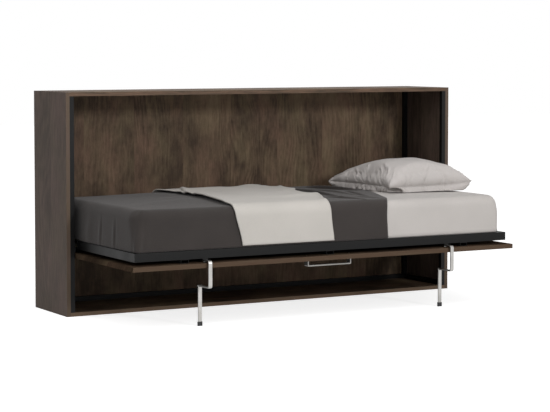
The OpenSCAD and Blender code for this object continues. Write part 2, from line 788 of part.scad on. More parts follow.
// A bolt up through each leg tail and the rail's lower wall, with its nut inside the rail
module leg_bolts() {
    head_z = leg_strap_z - leg_bolt_head_h;
    nut_z = frame_z + rail_wall;
    nut_h = leg_bolt_d * nut_h_ratio;
    color(zinc) for (side = [LEFT, RIGHT]) translate([side * leg_x, leg_bolt_y, 0]) {
        translate([0, 0, head_z])
            cylinder(d = leg_bolt_d, h = nut_z + nut_h + leg_bolt_end - head_z, $fn = screw_fn);
        translate([0, 0, head_z])
            cylinder(d = leg_bolt_d * bolt_head_ratio, h = leg_bolt_head_h, $fn = screw_fn);
        difference() {
            translate([0, 0, nut_z]) cylinder(d = leg_bolt_d * nut_ratio, h = nut_h, $fn = 6);
            translate([0, 0, nut_z - lap])
                cylinder(d = leg_bolt_d + 2 * pin_play, h = nut_h + 2 * lap, $fn = screw_fn);
        }
    }
}

// Moves what is drawn hanging down from the origin to the upper spring stud
module on_spring(side) {
    translate([side * spring_x, spring_top_y, spring_top_z]) rotate([spring_turn, 0, 0]) children();
}

// Distance from the middle of an eye at which its neck starts, clear of the stud
neck_root = stud_d / 2 + 2 * lap;

module spring_eye(z, play) {
    difference() {
        union() {
            x_rod(-spring_eye_t / 2, spring_eye_t / 2, 0, z, spring_eye_d);
            translate([0, 0, z]) children();
        }
        x_rod(-spring_eye_t, spring_eye_t, 0, z, stud_d + 2 * play);
    }
}

module spring_tube(side) {
    on_spring(side) difference() {
        color([0.15, 0.15, 0.16]) union() {
            spring_eye(0, pin_play) translate([0, 0, -tube_start - lap])
                cylinder(d = eye_neck_d, h = tube_start + lap - neck_root, $fn = round_fn);
            translate([0, 0, -tube_end]) cylinder(d = spring_tube_d, h = tube_end - tube_start,
                $fn = round_fn);
        }
        translate([0, 0, -tube_end - lap]) cylinder(d = spring_rod_d + 2 * pin_play,
            h = tube_end + lap - tube_start - tube_cap, $fn = round_fn);
    }
}

module spring_rod(side) {
    rod_top = spring_len - tube_start - 2 * tube_cap;
    color(chrome) on_spring(side) spring_eye(-spring_len, pin_play) {
        translate([0, 0, neck_root])
            cylinder(d = eye_neck_d, h = spring_eye_d / 2 + spring_neck - neck_root, $fn = round_fn);
        translate([0, 0, neck_root])
            cylinder(d = spring_rod_d, h = rod_top - neck_root, $fn = round_fn);
    }
}

// Points of a rounded rectangle, counted from above
function outline(l, w, r) = [for (q = [0:3], k = [0:corner_steps])
    let (a = 90 * q + 90 * k / corner_steps, sx = q == 0 || q == 3 ? 1 : -1, sy = q < 2 ? 1 : -1)
    [sx * (l / 2 - r) + r * cos(a), sy * (w / 2 - r) + r * sin(a)]];

// Insets and heights of the rings of a padded block, from its lower face to its crown
function block_rings(h, base, r, g) = concat(
    [for (k = [0:base_steps]) let (a = 90 * k / base_steps)
        [base * (1 - sin(a)) - g * sin(a), base * (1 - cos(a)) - g * cos(a)]],
    [for (k = [0:edge_steps]) let (a = 90 * k / edge_steps)
        [r * (1 - cos(a)) - g * cos(a), h - r * (1 - sin(a)) + g * sin(a)]],
    [for (k = [1:crown_rings]) let (t = k / (crown_rings + 1))
        [r + (mattress_w / 2 - mattress_corner - r) * t, h + g + mattress_crown * (1 - (1 - t) * (1 - t))]]);

// The mattress, or a skin that stands out from it by grow
module padded_block(grow) {
    rings = block_rings(mattress_t, mattress_base_edge, mattress_edge, grow);
    count = 4 * (corner_steps + 1);
    last = len(rings) - 1;
    points = concat(
        [for (ring = rings) each [for (p = outline(mattress_l - 2 * ring[0], mattress_w - 2 * ring[0],
            max(mattress_corner - ring[0], 1))) [p[0], p[1], ring[1]]]],
        [[0, 0, rings[0][1]], [0, 0, mattress_t + grow + mattress_crown]]);
    sides = [for (i = [0:last - 1], j = [0:count - 1]) each let (k = (j + 1) % count) [
        [i * count + j, (i + 1) * count + j, (i + 1) * count + k],
        [i * count + j, (i + 1) * count + k, i * count + k]]];
    caps = [for (j = [0:count - 1]) each let (k = (j + 1) % count) [
        [len(rings) * count, j, k], [len(rings) * count + 1, last * count + k, last * count + j]]];
    translate([mattress_mid[0], mattress_mid[1], mattress_z])
        polyhedron(points = points, faces = concat(sides, caps), convexity = 4);
}

module mattress() {
    color([0.74, 0.71, 0.69]) padded_block(0);
}

// The upright block over the region of the mattress that a cloth covers
module cloth_region(x1_front, x1_back, x2_front, x2_back) {
    margin = 40;
    translate([0, 0, hem_z]) linear_extrude(mattress_t + 3 * margin) polygon([
        [x1_front, mattress_front_y - margin], [x2_front, mattress_front_y - margin],
        [x2_back, mattress_front_y + mattress_w + margin],
        [x1_back, mattress_front_y + mattress_w + margin]]);
}

module bed_cover() {
    start = mattress_foot_x - mattress_edge;
    color([0.26, 0.24, 0.23]) intersection() {
        difference() {
            padded_block(soft_gap + cover_t);
            padded_block(soft_gap);
        }
        cloth_region(start, start, cover_x, cover_x + cover_skew);
    }
}

// The raised fold lies on the throw near its back right corner
module throw_fold() {
    spread = [1.6, 2.4];
    for (s = [0, 1])
        translate([throw_x + fold_inset + fold_l * s, mattress_front_y + mattress_w - fold_back
            + fold_skew * s, mattress_top_z + mattress_crown + cover_grow])
            scale([spread[0], spread[1], 1 - fold_fall / fold_h * s]) sphere(r = fold_h, $fn = 24);
}

module throw() {
    color([0.75, 0.73, 0.70]) intersection() {
        difference() {
            union() {
                padded_block(cover_grow + throw_t);
                hull() throw_fold();
            }
            padded_block(cover_grow);
        }
        cloth_region(throw_x, throw_x + throw_skew / 3, throw_x + throw_l, throw_x + throw_l + throw_skew);
    }
}

// Share of the pillow by which its sides draw in between the corners
draw_in = 0.11;
// Share of the seam height by which the seam rises at the corners
corner_rise = 0.1;
// How steeply the lower side of the pillow falls from the seam, in seam heights
belly = 1.8;
// Powers that shape the swell across the pillow and towards its seam
swell_across = 2.8;
swell_edge = 0.52;

// Height of the pillow as a share, at a place given from -1 to 1 each way
function swell(u, v) = pow(max(0, (1 - pow(abs(u), swell_across)) * (1 - pow(abs(v), swell_across))),
    swell_edge);

// The seam rises towards the corners, and the sides draw in between them
function pillow_point(u, v, top) = let (
    x = pillow_l / 2 * u * (1 - draw_in * (1 - v * v)),
    y = pillow_w / 2 * v * (1 - draw_in * (1 - u * u)),
    seam = pillow_seam * (1 + corner_rise * u * u * v * v),
    z = top ? seam + (pillow_h - pillow_seam) * swell(u, v)
        : max(0, seam - belly * pillow_seam * swell(u, v)))
    [x, y, z];

module pillow() {
    n = pillow_grid;
    side = n + 1;
    at = [for (i = [0:n]) let (t = 2 * i / n - 1) sin(90 * t)];
    upper = [for (u = at, v = at) pillow_point(u, v, true)];
    lower = [for (i = [1:n - 1], j = [1:n - 1]) pillow_point(at[i], at[j], false)];
    rim = function (i, j) i == 0 || j == 0 || i == n || j == n;
    low_at = function (i, j) rim(i, j) ? i * side + j : side * side + (i - 1) * (n - 1) + j - 1;
    top_at = function (i, j) i * side + j;
    // Each cell is split from its corner nearest the pillow's corner, so no face lies in the rim
    halves = function (a, b, c, d, even) even ? [[a, b, c], [a, c, d]] : [[a, b, d], [b, c, d]];
    faces = [for (i = [0:n - 1], j = [0:n - 1]) each let (even = (i < n / 2) == (j < n / 2)) concat(
        halves(top_at(i, j), top_at(i, j + 1), top_at(i + 1, j + 1), top_at(i + 1, j), even),
        halves(low_at(i, j), low_at(i + 1, j), low_at(i + 1, j + 1), low_at(i, j + 1), even))];
    color([0.76, 0.73, 0.71]) translate([pillow_x, pillow_y, pillow_rest_z]) rotate(pillow_turn)
        polyhedron(points = concat(upper, lower), faces = faces, convexity = 4);
}

side_panel(LEFT);  // left_side_panel
side_panel(RIGHT);  // right_side_panel
top_panel();
bottom_panel();
back_panel();
post(LEFT, front_y);  // left_front_post
post(RIGHT, front_y);  // right_front_post
post(LEFT, post_back_y);  // left_rear_post
post(RIGHT, post_back_y);  // right_rear_post
side_rails(LEFT);  // left_side_rails
side_rails(RIGHT);  // right_side_rails
rear_rail();
pivot_bracket(LEFT);  // left_pivot_bracket
pivot_bracket(RIGHT);  // right_pivot_bracket
pivot_pin(LEFT);  // left_pivot_pin
pivot_pin(RIGHT);  // right_pivot_pin
spring_stud(LEFT);  // left_spring_stud
spring_stud(RIGHT);  // right_spring_stud
cam_locks();
cam_bolts();
frame_screws();
back_screws();
front_rail();
back_rail();
end_rail(LEFT);  // foot_rail
end_rail(RIGHT);  // head_rail
cross_bars();
slats();
slat_holders();
mattress_stops();
pivot_plate(LEFT);  // left_pivot_plate
pivot_plate(RIGHT);  // right_pivot_plate
bush(LEFT);  // left_bush
bush(RIGHT);  // right_bush
lower_stud(LEFT);  // left_lower_stud
lower_stud(RIGHT);  // right_lower_stud
door_panel();
door_screws();
handle();
handle_screws();
leg_bracket(LEFT);  // left_leg_bracket
leg_bracket(RIGHT);  // right_leg_bracket
leg_spacers();
leg_bolts();
leg_bar(LEFT);  // left_leg_bar
leg_bar(RIGHT);  // right_leg_bar
leg_pin(LEFT);  // left_leg_pin
leg_pin(RIGHT);  // right_leg_pin
foot(LEFT);  // left_foot
foot(RIGHT);  // right_foot
spring_tube(LEFT);  // left_spring_tube
spring_tube(RIGHT);  // right_spring_tube
spring_rod(LEFT);  // left_spring_rod
spring_rod(RIGHT);  // right_spring_rod
mattress();
bed_cover();
throw();
pillow();
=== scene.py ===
"""Dresses a horizontal wall bed: board cabinet, folding steel frame, legs, springs and bedding.

All lengths are metres in the part's own frame: X runs along the bed to the head end, Y back to
the wall, Z up. The hard pieces are the frame's own nodes and only get a finish here. The mattress,
the cover, the throw and the pillow are modelled here in the space that their nodes hold.
"""

import logging
import math
from dataclasses import dataclass, field
from enum import Enum

import bmesh
import bpy
import numpy as np
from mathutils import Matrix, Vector, noise


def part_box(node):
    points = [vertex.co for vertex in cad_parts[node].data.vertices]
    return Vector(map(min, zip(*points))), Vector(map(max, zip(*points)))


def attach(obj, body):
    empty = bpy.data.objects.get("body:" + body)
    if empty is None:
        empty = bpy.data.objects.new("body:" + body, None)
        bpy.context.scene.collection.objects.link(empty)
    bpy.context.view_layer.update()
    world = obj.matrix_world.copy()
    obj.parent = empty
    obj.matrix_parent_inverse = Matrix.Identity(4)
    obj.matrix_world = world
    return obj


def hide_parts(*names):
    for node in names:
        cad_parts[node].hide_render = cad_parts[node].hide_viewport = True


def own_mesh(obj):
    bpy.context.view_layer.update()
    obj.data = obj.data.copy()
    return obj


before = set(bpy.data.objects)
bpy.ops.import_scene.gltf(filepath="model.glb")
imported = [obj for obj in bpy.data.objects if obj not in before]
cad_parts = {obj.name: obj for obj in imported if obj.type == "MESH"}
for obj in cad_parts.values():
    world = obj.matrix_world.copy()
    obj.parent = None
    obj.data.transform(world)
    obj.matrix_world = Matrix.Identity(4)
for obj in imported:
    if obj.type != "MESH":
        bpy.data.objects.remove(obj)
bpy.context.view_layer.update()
LOG = logging.getLogger("wall_bed")
WHITE = (1.0, 1.0, 1.0, 1.0)
SMALL = 1e-6
TINY = 1e-9
STUFFING = {"quality": 6, "mass": 0.3, "tension_stiffness": 15.0, "compression_stiffness": 15.0,
            "shear_stiffness": 5.0, "bending_stiffness": 0.15, "air_damping": 2.0,
            "use_pressure": True}

Colour = tuple[int, int, int]
Pair = tuple[float, float]
Point = tuple[float, float, float]
Faces = list[tuple[int, ...]]
Array = np.ndarray
Socket = bpy.types.NodeSocket
Piece = bpy.types.Object


def linear(colour: Colour) -> tuple[float, float, float, float]:
    """Turns a display colour into the linear one that shaders take.

    Args:
        colour: red, green and blue from 0 to 255.

    Returns:
        The linear colour with an alpha of 1.
    """
    shares = [c / 255 for c in colour]
    flat = [c / 12.92 if c <= 0.04045 else ((c + 0.055) / 1.055) ** 2.4 for c in shares]
    return (flat[0], flat[1], flat[2], 1.0)


class Tree:
    """Builds a node tree step by step."""

    def __init__(self, tree: bpy.types.NodeTree) -> None:
        """Starts on a tree.

        Args:
            tree: the tree that the nodes go into.
        """
        self.tree = tree

    def add(self, kind: str, sockets: dict[str | int, object] | None = None,
            **settings: object) -> bpy.types.Node:
        """Adds a node, sets its properties and fills or links its inputs.

        Args:
            kind: node type without its ShaderNode prefix.
            sockets: values or output sockets for the inputs, by name or index.
            settings: properties of the node.

        Returns:
            The new node.
        """
        node = self.tree.nodes.new("ShaderNode" + kind)
        for key, value in settings.items():
            setattr(node, key, value)
        for key, value in (sockets or {}).items():
            self.fill(node.inputs[key], value)
        return node

    def fill(self, socket: Socket, value: object) -> None:
        """Links a socket to an output, or sets its value.

        Args:
            socket: the input socket.
            value: an output socket, or the value to set.
        """
        if isinstance(value, Socket):
            self.tree.links.new(value, socket)
        else:
            socket.default_value = value

    def math(self, operation: str, *values: object) -> Socket:
        """Adds a math node and returns its output."""
        return self.add("Math", dict(enumerate(values)), operation=operation).outputs[0]


class Graph(Tree):
    """Builds one material around a principled shader."""

    def __init__(self, name: str) -> None:
        """Starts a plain material.

        Args:
            name: name of the material.
        """
        self.material = bpy.data.materials.new(name)
        self.material.use_nodes = True
        super().__init__(self.material.node_tree)
        self.shader = self.tree.nodes["Principled BSDF"]

    def total(self, *parts: tuple[object, float]) -> Socket:
        """Adds up values, each times its weight.

        Args:
            parts: pairs of value and weight.

        Returns:
            The sum.
        """
        whole: object = 0.0
        for value, weight in parts:
            whole = self.math("MULTIPLY_ADD", value, weight, whole)
        return whole

    def span(self, value: Socket, low: float, high: float, to_low: float = 0.0,
             to_high: float = 1.0) -> Socket:
        """Maps a value from one range to another and returns the result."""
        limits = {0: value, 1: low, 2: high, 3: to_low, 4: to_high}
        return self.add("MapRange", limits).outputs[0]

    def mix(self, factor: object, a: object, b: object) -> Socket:
        """Mixes two colours and returns the result."""
        return self.add("Mix", {0: factor, 6: a, 7: b}, data_type="RGBA").outputs[2]

    def noise(self, vector: Socket, scale: float, detail: float = 3.0, rough: float = 0.5) -> Socket:
        """Adds a noise texture and returns its value."""
        sockets = {"Vector": vector, "Scale": scale, "Detail": detail, "Roughness": rough}
        return self.add("TexNoise", sockets).outputs[0]

    def joined(self, *values: object) -> Socket:
        """Joins three values into a vector."""
        return self.add("CombineXYZ", dict(enumerate(values))).outputs[0]

    def scaled(self, vector: Socket, scale: Point) -> Socket:
        """Scales a vector along its axes."""
        return self.add("Mapping", {"Vector": vector, "Scale": scale}).outputs[0]

    def place(self, scale: Point = (1.0, 1.0, 1.0)) -> Socket:
        """Returns the object's own coordinates, scaled."""
        return self.scaled(self.add("TexCoord").outputs["Object"], scale)

    def bump(self, height: Socket, distance: float, strength: float) -> Socket:
        """Adds a bump node and returns the normal."""
        sockets = {"Height": height, "Distance": distance, "Strength": strength}
        return self.add("Bump", sockets).outputs[0]

    def finish(self, **inputs: object) -> bpy.types.Material:
        """Sets the shader's inputs, whose spaces are written as underscores.

        Args:
            inputs: values or sockets by input name.

        Returns:
            The finished material.
        """
        for key, value in inputs.items():
            self.fill(self.shader.inputs[key.replace("_", " ")], value)
        return self.material


class Grain(Enum):
    """Direction in which the grain of a board runs."""

    ALONG = "along the bed"
    UPRIGHT = "upright"


@dataclass(frozen=True)
class Layer:
    """One layer of noise in a board: its stretch along the grain, waves per metre and weight."""

    stretch: float
    scale: float
    detail: float = 3.0
    rough: float = 0.5
    weight: float = 1.0

    def read(self, g: Graph, flow: Socket) -> Socket:
        """Adds the layer and returns its value.

        Args:
            g: the material being built.
            flow: across, plank and along coordinates.
        """
        drawn = g.scaled(flow, (1.0, 1.0, self.stretch))
        return g.noise(drawn, self.scale, self.detail, self.rough)


@dataclass(frozen=True)
class OakFinish:
    """Dark oak board: fine pores and grain, cloudy patches, knots, planks and banded fronts."""

    SWAY = Layer(0.3, 3.6, 2.0, weight=0.07)
    PATCH = Layer(0.6, 6.5, 7.0, 0.68, 0.72)
    CLOUD = Layer(0.7, 3.4, weight=0.22)
    STREAK = Layer(0.07, 120.0, 3.0, 0.65, 0.16)
    FINE = Layer(0.05, 330.0, 3.0, 0.6, 0.22)
    PORES = Layer(0.05, 520.0, 2.0, 0.6, 0.30)
    HUE = Layer(0.5, 5.3, 3.0, 0.6)
    ARCH = Layer(0.3, 4.2, 2.0, weight=95.0)
    CALM = Layer(0.5, 3.0, 1.0)
    RING_TURN = 210.0
    KNOT_STRETCH = 0.55
    KNOTS_PER_METRE = 3.1
    SWIRL = 0.04
    OWN_WEIGHT = 0.07
    BASE_TONE = 0.50
    TONE_FALL = 0.47
    TONES = (0.60, 0.80, 1.02)
    PLANK_JUMPS = (5.1, 7.3)

    name: str
    grain: Grain
    banded: bool = True
    dark: Colour = (60, 48, 38)
    olive: Colour = (104, 90, 70)
    red: Colour = (107, 85, 70)
    pale: Colour = (128, 110, 88)
    band: Colour = (86, 74, 60)
    cloudy: float = 1.0
    plank: float = 0.276
    offset: float = 0.0
    sheen: float = 0.12

    def material(self) -> bpy.types.Material:
        """Builds the board material from the object's own coordinates."""
        g = Graph(self.name)
        x, y, z = g.add("SeparateXYZ", {0: g.place()}).outputs
        upright = self.grain is Grain.UPRIGHT
        across = g.math("ADD", x, y) if upright else g.math("ADD", y, z)
        plank = g.math("FLOOR", g.math("ADD", g.math("DIVIDE", across, self.plank), self.offset))
        own = g.add("TexWhiteNoise", {"W": plank}, noise_dimensions="1D").outputs[0]
        side_jump, jump = self.PLANK_JUMPS
        run = g.total((z if upright else x, 1.0), (own, jump))
        flow = g.joined(across, g.math("MULTIPLY", own, side_jump), run)
        swayed = g.total((across, 1.0), (self.SWAY.read(g, flow), self.SWAY.weight))
        drawn = g.scaled(g.joined(swayed, own, run), (1.0, 1.0, self.KNOT_STRETCH))
        knots = g.add("TexVoronoi", {"Vector": drawn, "Scale": self.KNOTS_PER_METRE},
                      feature="F1").outputs["Distance"]
        swirl = g.span(knots, 0.02, 0.22, 1.0, 0.0)
        grown = g.joined(g.total((swayed, 1.0), (swirl, self.SWIRL)), own, run)
        patch, cloud = self.PATCH.read(g, flow), self.CLOUD.read(g, flow)
        streak, fine = self.STREAK.read(g, grown), self.FINE.read(g, grown)
        tone = g.total((patch, self.PATCH.weight * self.cloudy),
                       (cloud, self.CLOUD.weight * self.cloudy),
                       (1.0, self.BASE_TONE - self.TONE_FALL * self.cloudy),
                       (streak, self.STREAK.weight), (fine, self.FINE.weight),
                       (self.rings(g, grown, streak), 1.0), (own, self.OWN_WEIGHT))
        hue = g.span(self.HUE.read(g, flow), 0.38, 0.62)
        middle = g.mix(hue, linear(self.olive), linear(self.red))
        low, mean, high = self.TONES
        colour = g.mix(g.span(tone, low, mean), linear(self.dark), middle)
        colour = g.mix(g.span(tone, mean, high), colour, linear(self.pale))
        pores = g.span(self.PORES.read(g, grown), 0.55, 0.72)
        colour = g.mix(g.math("MULTIPLY", pores, self.PORES.weight), colour, linear(self.dark))
        knot_edge = g.total((knots, 1.0), (g.noise(flow, 38.0, 2.0), 0.05))
        colour = g.mix(g.span(knot_edge, 0.045, 0.13, 0.62, 0.0), colour, linear(self.dark))
        if self.banded:
            colour = self.with_band(g, colour, streak, patch)
        relief = g.total((fine, 1.0), (pores, -0.8))
        return g.finish(Base_Color=colour, Roughness=0.6, Specular_IOR_Level=self.sheen,
                        Normal=g.bump(relief, 0.0004, 0.6))

    def rings(self, g: Graph, grown: Socket, streak: Socket) -> Socket:
        """Draws the yearly rings, which run straight in places and arch in others.

        Args:
            g: the material being built.
            grown: grain coordinates, bent around the knots.
            streak: fine grain value, which breaks the rings up.

        Returns:
            What the rings add to the tone.
        """
        across = g.add("SeparateXYZ", {0: grown}).outputs[0]
        arch = self.ARCH.read(g, grown)
        phase = g.total((across, self.RING_TURN), (arch, self.ARCH.weight))
        ring = g.total((g.math("SINE", phase), 1.0), (streak, 0.8))
        seen = g.span(self.CALM.read(g, grown), 0.40, 0.62, 0.004, 0.030)
        return g.math("MULTIPLY", ring, seen)

    def with_band(self, g: Graph, colour: Socket, streak: Socket, patch: Socket) -> Socket:
        """Lays the edge band's colour over the faces that look forward.

        Args:
            g: the material being built.
            colour: colour of the board.
            streak: fine grain value, which also marks the band.
            patch: patchy value, which tints the band.

        Returns:
            The colour of the board with its band.
        """
        normal = g.add("SeparateXYZ", {0: g.add("TexCoord").outputs["Normal"]}).outputs[1]
        forward = g.math("LESS_THAN", normal, -0.9)
        mark = g.total((streak, 0.5), (patch, 0.5))
        band = g.mix(g.span(mark, 0.35, 0.65), linear(self.red), linear(self.band))
        return g.mix(forward, colour, band)


@dataclass(frozen=True)
class CoatFinish:
    """Powder-coated steel with a fine even grain."""

    name: str
    colour: Colour = (11, 11, 11)
    roughness: float = 0.44
    peel: float = 900.0

    def material(self) -> bpy.types.Material:
        """Builds the coat with its faint speckle and grain."""
        g = Graph(self.name)
        grain = g.noise(g.place(), self.peel, 2.0)
        cloud = g.noise(g.place(), 9.0, 3.0)
        shade = tuple(min(255, round(c * 1.18)) for c in self.colour)
        colour = g.mix(cloud, linear(self.colour), linear(shade))
        rough = g.span(cloud, 0.3, 0.7, self.roughness - 0.05, self.roughness + 0.07)
        return g.finish(Base_Color=colour, Roughness=rough, Specular_IOR_Level=0.15,
                        Normal=g.bump(grain, 0.0002, 0.35))


@dataclass(frozen=True)
class MetalFinish:
    """Bare or plated metal with fine drawn marks along one direction."""

    name: str
    colour: Colour
    roughness: float
    stretch: Point = (1.0, 1.0, 0.02)
    marks: float = 0.06

    def material(self) -> bpy.types.Material:
        """Builds the metal with its drawn marks and faint smudges."""
        g = Graph(self.name)
        drawn = g.noise(g.place(self.stretch), 700.0, 3.0, 0.6)
        smudge = g.noise(g.place(), 14.0, 4.0, 0.6)
        shade = tuple(round(c * 0.9) for c in self.colour)
        colour = g.mix(g.span(smudge, 0.35, 0.7), linear(self.colour), linear(shade))
        rough = g.total((drawn, self.marks), (smudge, self.marks), (1.0, self.roughness - self.marks))
        return g.finish(Base_Color=colour, Metallic=1.0, Roughness=rough,
                        Normal=g.bump(drawn, 0.00005, 0.3))


@dataclass(frozen=True)
class SlatFinish:
    """Pressed beech slats with grain along the slat."""

    name: str
    pale: Colour = (214, 185, 142)
    deep: Colour = (184, 148, 104)

    def material(self) -> bpy.types.Material:
        """Builds the beech with its fine flecks."""
        g = Graph(self.name)
        streak = g.noise(g.place((1.0, 0.04, 1.0)), 90.0, 5.0, 0.65)
        fleck = g.span(g.noise(g.place((1.0, 0.2, 1.0)), 420.0, 2.0), 0.58, 0.7)
        colour = g.mix(g.span(streak, 0.3, 0.75), linear(self.pale), linear(self.deep))
        colour = g.mix(g.math("MULTIPLY", fleck, 0.35), colour, linear(self.deep))
        return g.finish(Base_Color=colour, Roughness=0.45, Normal=g.bump(streak, 0.0003, 0.4))


@dataclass(frozen=True)
class MouldedFinish:
    """Moulded plastic or rubber with a fine eroded texture."""

    name: str
    colour: Colour = (26, 26, 27)
    roughness: float = 0.55
    texture: float = 1200.0

    def material(self) -> bpy.types.Material:
        """Builds the moulded surface."""
        g = Graph(self.name)
        grain = g.noise(g.place(), self.texture, 2.0)
        wear = g.noise(g.place(), 30.0, 3.0)
        shade = tuple(min(255, c + 14) for c in self.colour)
        colour = g.mix(g.span(wear, 0.45, 0.75), linear(self.colour), linear(shade))
        rough = g.span(wear, 0.3, 0.7, self.roughness - 0.08, self.roughness + 0.08)
        return g.finish(Base_Color=colour, Roughness=rough, Normal=g.bump(grain, 0.0002, 0.5))


@dataclass(frozen=True)
class ClothFinish:
    """Plain woven cotton: warp and weft threads, faint slubs and a soft nap."""

    WARP_LEAN = 0.31
    WEFT_LEAN = 0.95

    name: str
    colour: Colour
    thread: float = 0.0011
    slub: float = 0.05
    sheen: float = 0.15
    sheen_tint: Colour = (255, 255, 255)

    def material(self) -> bpy.types.Material:
        """Builds the weave from the object's own coordinates."""
        g = Graph(self.name)
        x, y, z = g.add("SeparateXYZ", {0: g.place()}).outputs
        turn = math.tau / self.thread
        warp = g.math("SINE", g.total((x, turn), (y, self.WARP_LEAN * turn)))
        weft = g.math("SINE", g.total((z, turn), (y, self.WEFT_LEAN * turn)))
        weave = g.math("MULTIPLY", warp, weft)
        slubs = g.noise(g.place((0.35, 1.0, 1.0)), 420.0, 3.0, 0.6)
        cloud = g.noise(g.place(), 5.0, 2.0)
        deep = tuple(round(c * (1 - self.slub)) for c in self.colour)
        mottled = g.total((slubs, 0.45), (cloud, 0.55))
        colour = g.mix(g.span(mottled, 0.35, 0.65), linear(self.colour), linear(deep))
        colour = g.mix(g.span(weave, -1.0, 1.0, 0.0, 0.3), colour, linear(deep))
        height = g.total((weave, 1.0), (slubs, 0.8))
        return g.finish(Base_Color=colour, Roughness=0.9, Specular_IOR_Level=0.15,
                        Sheen_Weight=self.sheen, Sheen_Roughness=0.5,
                        Sheen_Tint=linear(self.sheen_tint), Normal=g.bump(height, 0.00022, 0.45))


def smooth_step(t: Array) -> Array:
    """Eases values from 0 to 1 and holds them outside."""
    t = np.clip(t, 0.0, 1.0)
    return t * t * (3 - 2 * t)


def through(stations: tuple[Pair, ...], at: Array, blur: float = 0.05) -> Array:
    """Runs a smooth line through stations.

    Args:
        stations: pairs of place and value, in rising order of place.
        at: places to read.
        blur: length over which corners are eased.

    Returns:
        The values at the places.
    """
    places, values = zip(*stations)
    offsets = np.linspace(-1, 1, 9)
    return np.mean([np.interp(at + blur * o, places, values) for o in offsets], axis=0)


def waves(points: Array, scale: float, octaves: int = 3) -> Array:
    """Returns smooth noise from about -1 to 1 at points, finer with each octave.

    Args:
        points: rows of coordinates in metres.
        scale: waves per metre.
        octaves: number of noise layers.
    """
    return np.array([noise.fractal(Vector(p) * scale, 0.9, 2.0, octaves) for p in points.tolist()])


@dataclass(frozen=True)
class Fold:
    """One soft ridge or crease in cloth, along a line between two points, which may lean over."""

    FADE = 0.55

    start: Point
    end: Point
    width: float
    height: float
    lean: float = 0.0

    def rise(self, points: Array) -> Array:
        """Works out how far the fold lifts the cloth.

        Args:
            points: rows of coordinates in metres.

        Returns:
            The lift at each point.
        """
        a, b = np.array(self.start), np.array(self.end)
        run = b - a
        t = np.clip(((points - a) @ run) / (run @ run), 0, 1)
        gap = np.linalg.norm(points - (a + t[:, None] * run), axis=1)
        fade = 1 - self.FADE * np.abs(2 * t - 1) ** 2
        return self.height * np.exp(-((gap / self.width) ** 2)) * fade

    def shift(self, points: Array, out: Array) -> Array:
        """Works out how far the fold moves the cloth outwards and over to its side.

        Args:
            points: rows of coordinates in metres.
            out: outward normals of the cloth at the points.

        Returns:
            The move of each point.
        """
        run = np.array(self.end) - np.array(self.start)
        side = np.cross(run, (0.0, 0.0, 1.0))
        side /= max(np.linalg.norm(side), TINY)
        return self.rise(points)[:, None] * (out + self.lean * side)


def at_height(z: float, rows: list[tuple[float, ...]]) -> list[Fold]:
    """Returns level folds, each from the two places of its line and the rest of its fields."""
    return [Fold((*row[:2], z), (*row[2:4], z), *row[4:]) for row in rows]


def mesh_from(name: str, points: Array, faces: Faces) -> Piece:
    """Makes a smooth-shaded mesh object at the origin.

    Args:
        name: name of the piece.
        points: rows of coordinates in metres.
        faces: corner indices of each face.

    Returns:
        The new object.
    """
    mesh = bpy.data.meshes.new(name)
    mesh.from_pydata(points.tolist(), [], faces)
    mesh.polygons.foreach_set("use_smooth", [True] * len(mesh.polygons))
    piece = bpy.data.objects.new(name, mesh)
    bpy.context.scene.collection.objects.link(piece)
    return piece


def grid_faces(rows: int, columns: int, start: int = 0) -> Faces:
    """Returns the quads of a grid whose points lie row by row."""
    return [(start + i * columns + j, start + (i + 1) * columns + j,
             start + (i + 1) * columns + j + 1, start + i * columns + j + 1)
            for i in range(rows - 1) for j in range(columns - 1)]


def two_layers(rows: int, columns: int) -> Faces:
    """Returns the quads of two grids, of which the second lies under the first and faces down."""
    under = [face[::-1] for face in grid_faces(rows, columns, rows * columns)]
    return grid_faces(rows, columns) + under


def places(piece: Piece) -> list[tuple[float, ...]]:
    """Returns where the piece's points lie, to the micrometre."""
    return [tuple(round(c, 6) for c in vertex.co) for vertex in piece.data.vertices]


def close_up(piece: Piece) -> Array:
    """Sews points that lie in one place together and turns the faces outwards.

    Args:
        piece: a mesh whose halves meet along a rim.

    Returns:
        For each point of before, the number of its point now.
    """
    before = places(piece)
    shape = bmesh.new()
    shape.from_mesh(piece.data)
    bmesh.ops.remove_doubles(shape, verts=shape.verts, dist=SMALL)
    bmesh.ops.recalc_face_normals(shape, faces=shape.faces)
    shape.to_mesh(piece.data)
    shape.free()
    number = {place: i for i, place in enumerate(places(piece))}
    return np.array([number.get(place, 0) for place in before])


def blow_up(piece: Piece, pressure: float, frames: int) -> None:
    """Runs a cloth simulation with air pressure inside a closed case.

    Args:
        piece: the closed case.
        pressure: pressure inside it.
        frames: number of frames that it swells for.
    """
    cloth = piece.modifiers.new("stuffing", "CLOTH")
    for name, value in STUFFING.items():
        setattr(cloth.settings, name, value)
    cloth.settings.uniform_pressure_force = pressure
    cloth.settings.effector_weights.gravity = 0.0
    cloth.collision_settings.use_collision = False
    cloth.collision_settings.use_self_collision = False
    for step in range(1, frames + 1):
        bpy.context.scene.frame_set(step)


def evaluated_points(piece: Piece) -> Array:
    """Returns the piece's points with its modifiers at work."""
    shown = piece.evaluated_get(bpy.context.evaluated_depsgraph_get())
    return np.array([vertex.co[:] for vertex in shown.data.vertices])


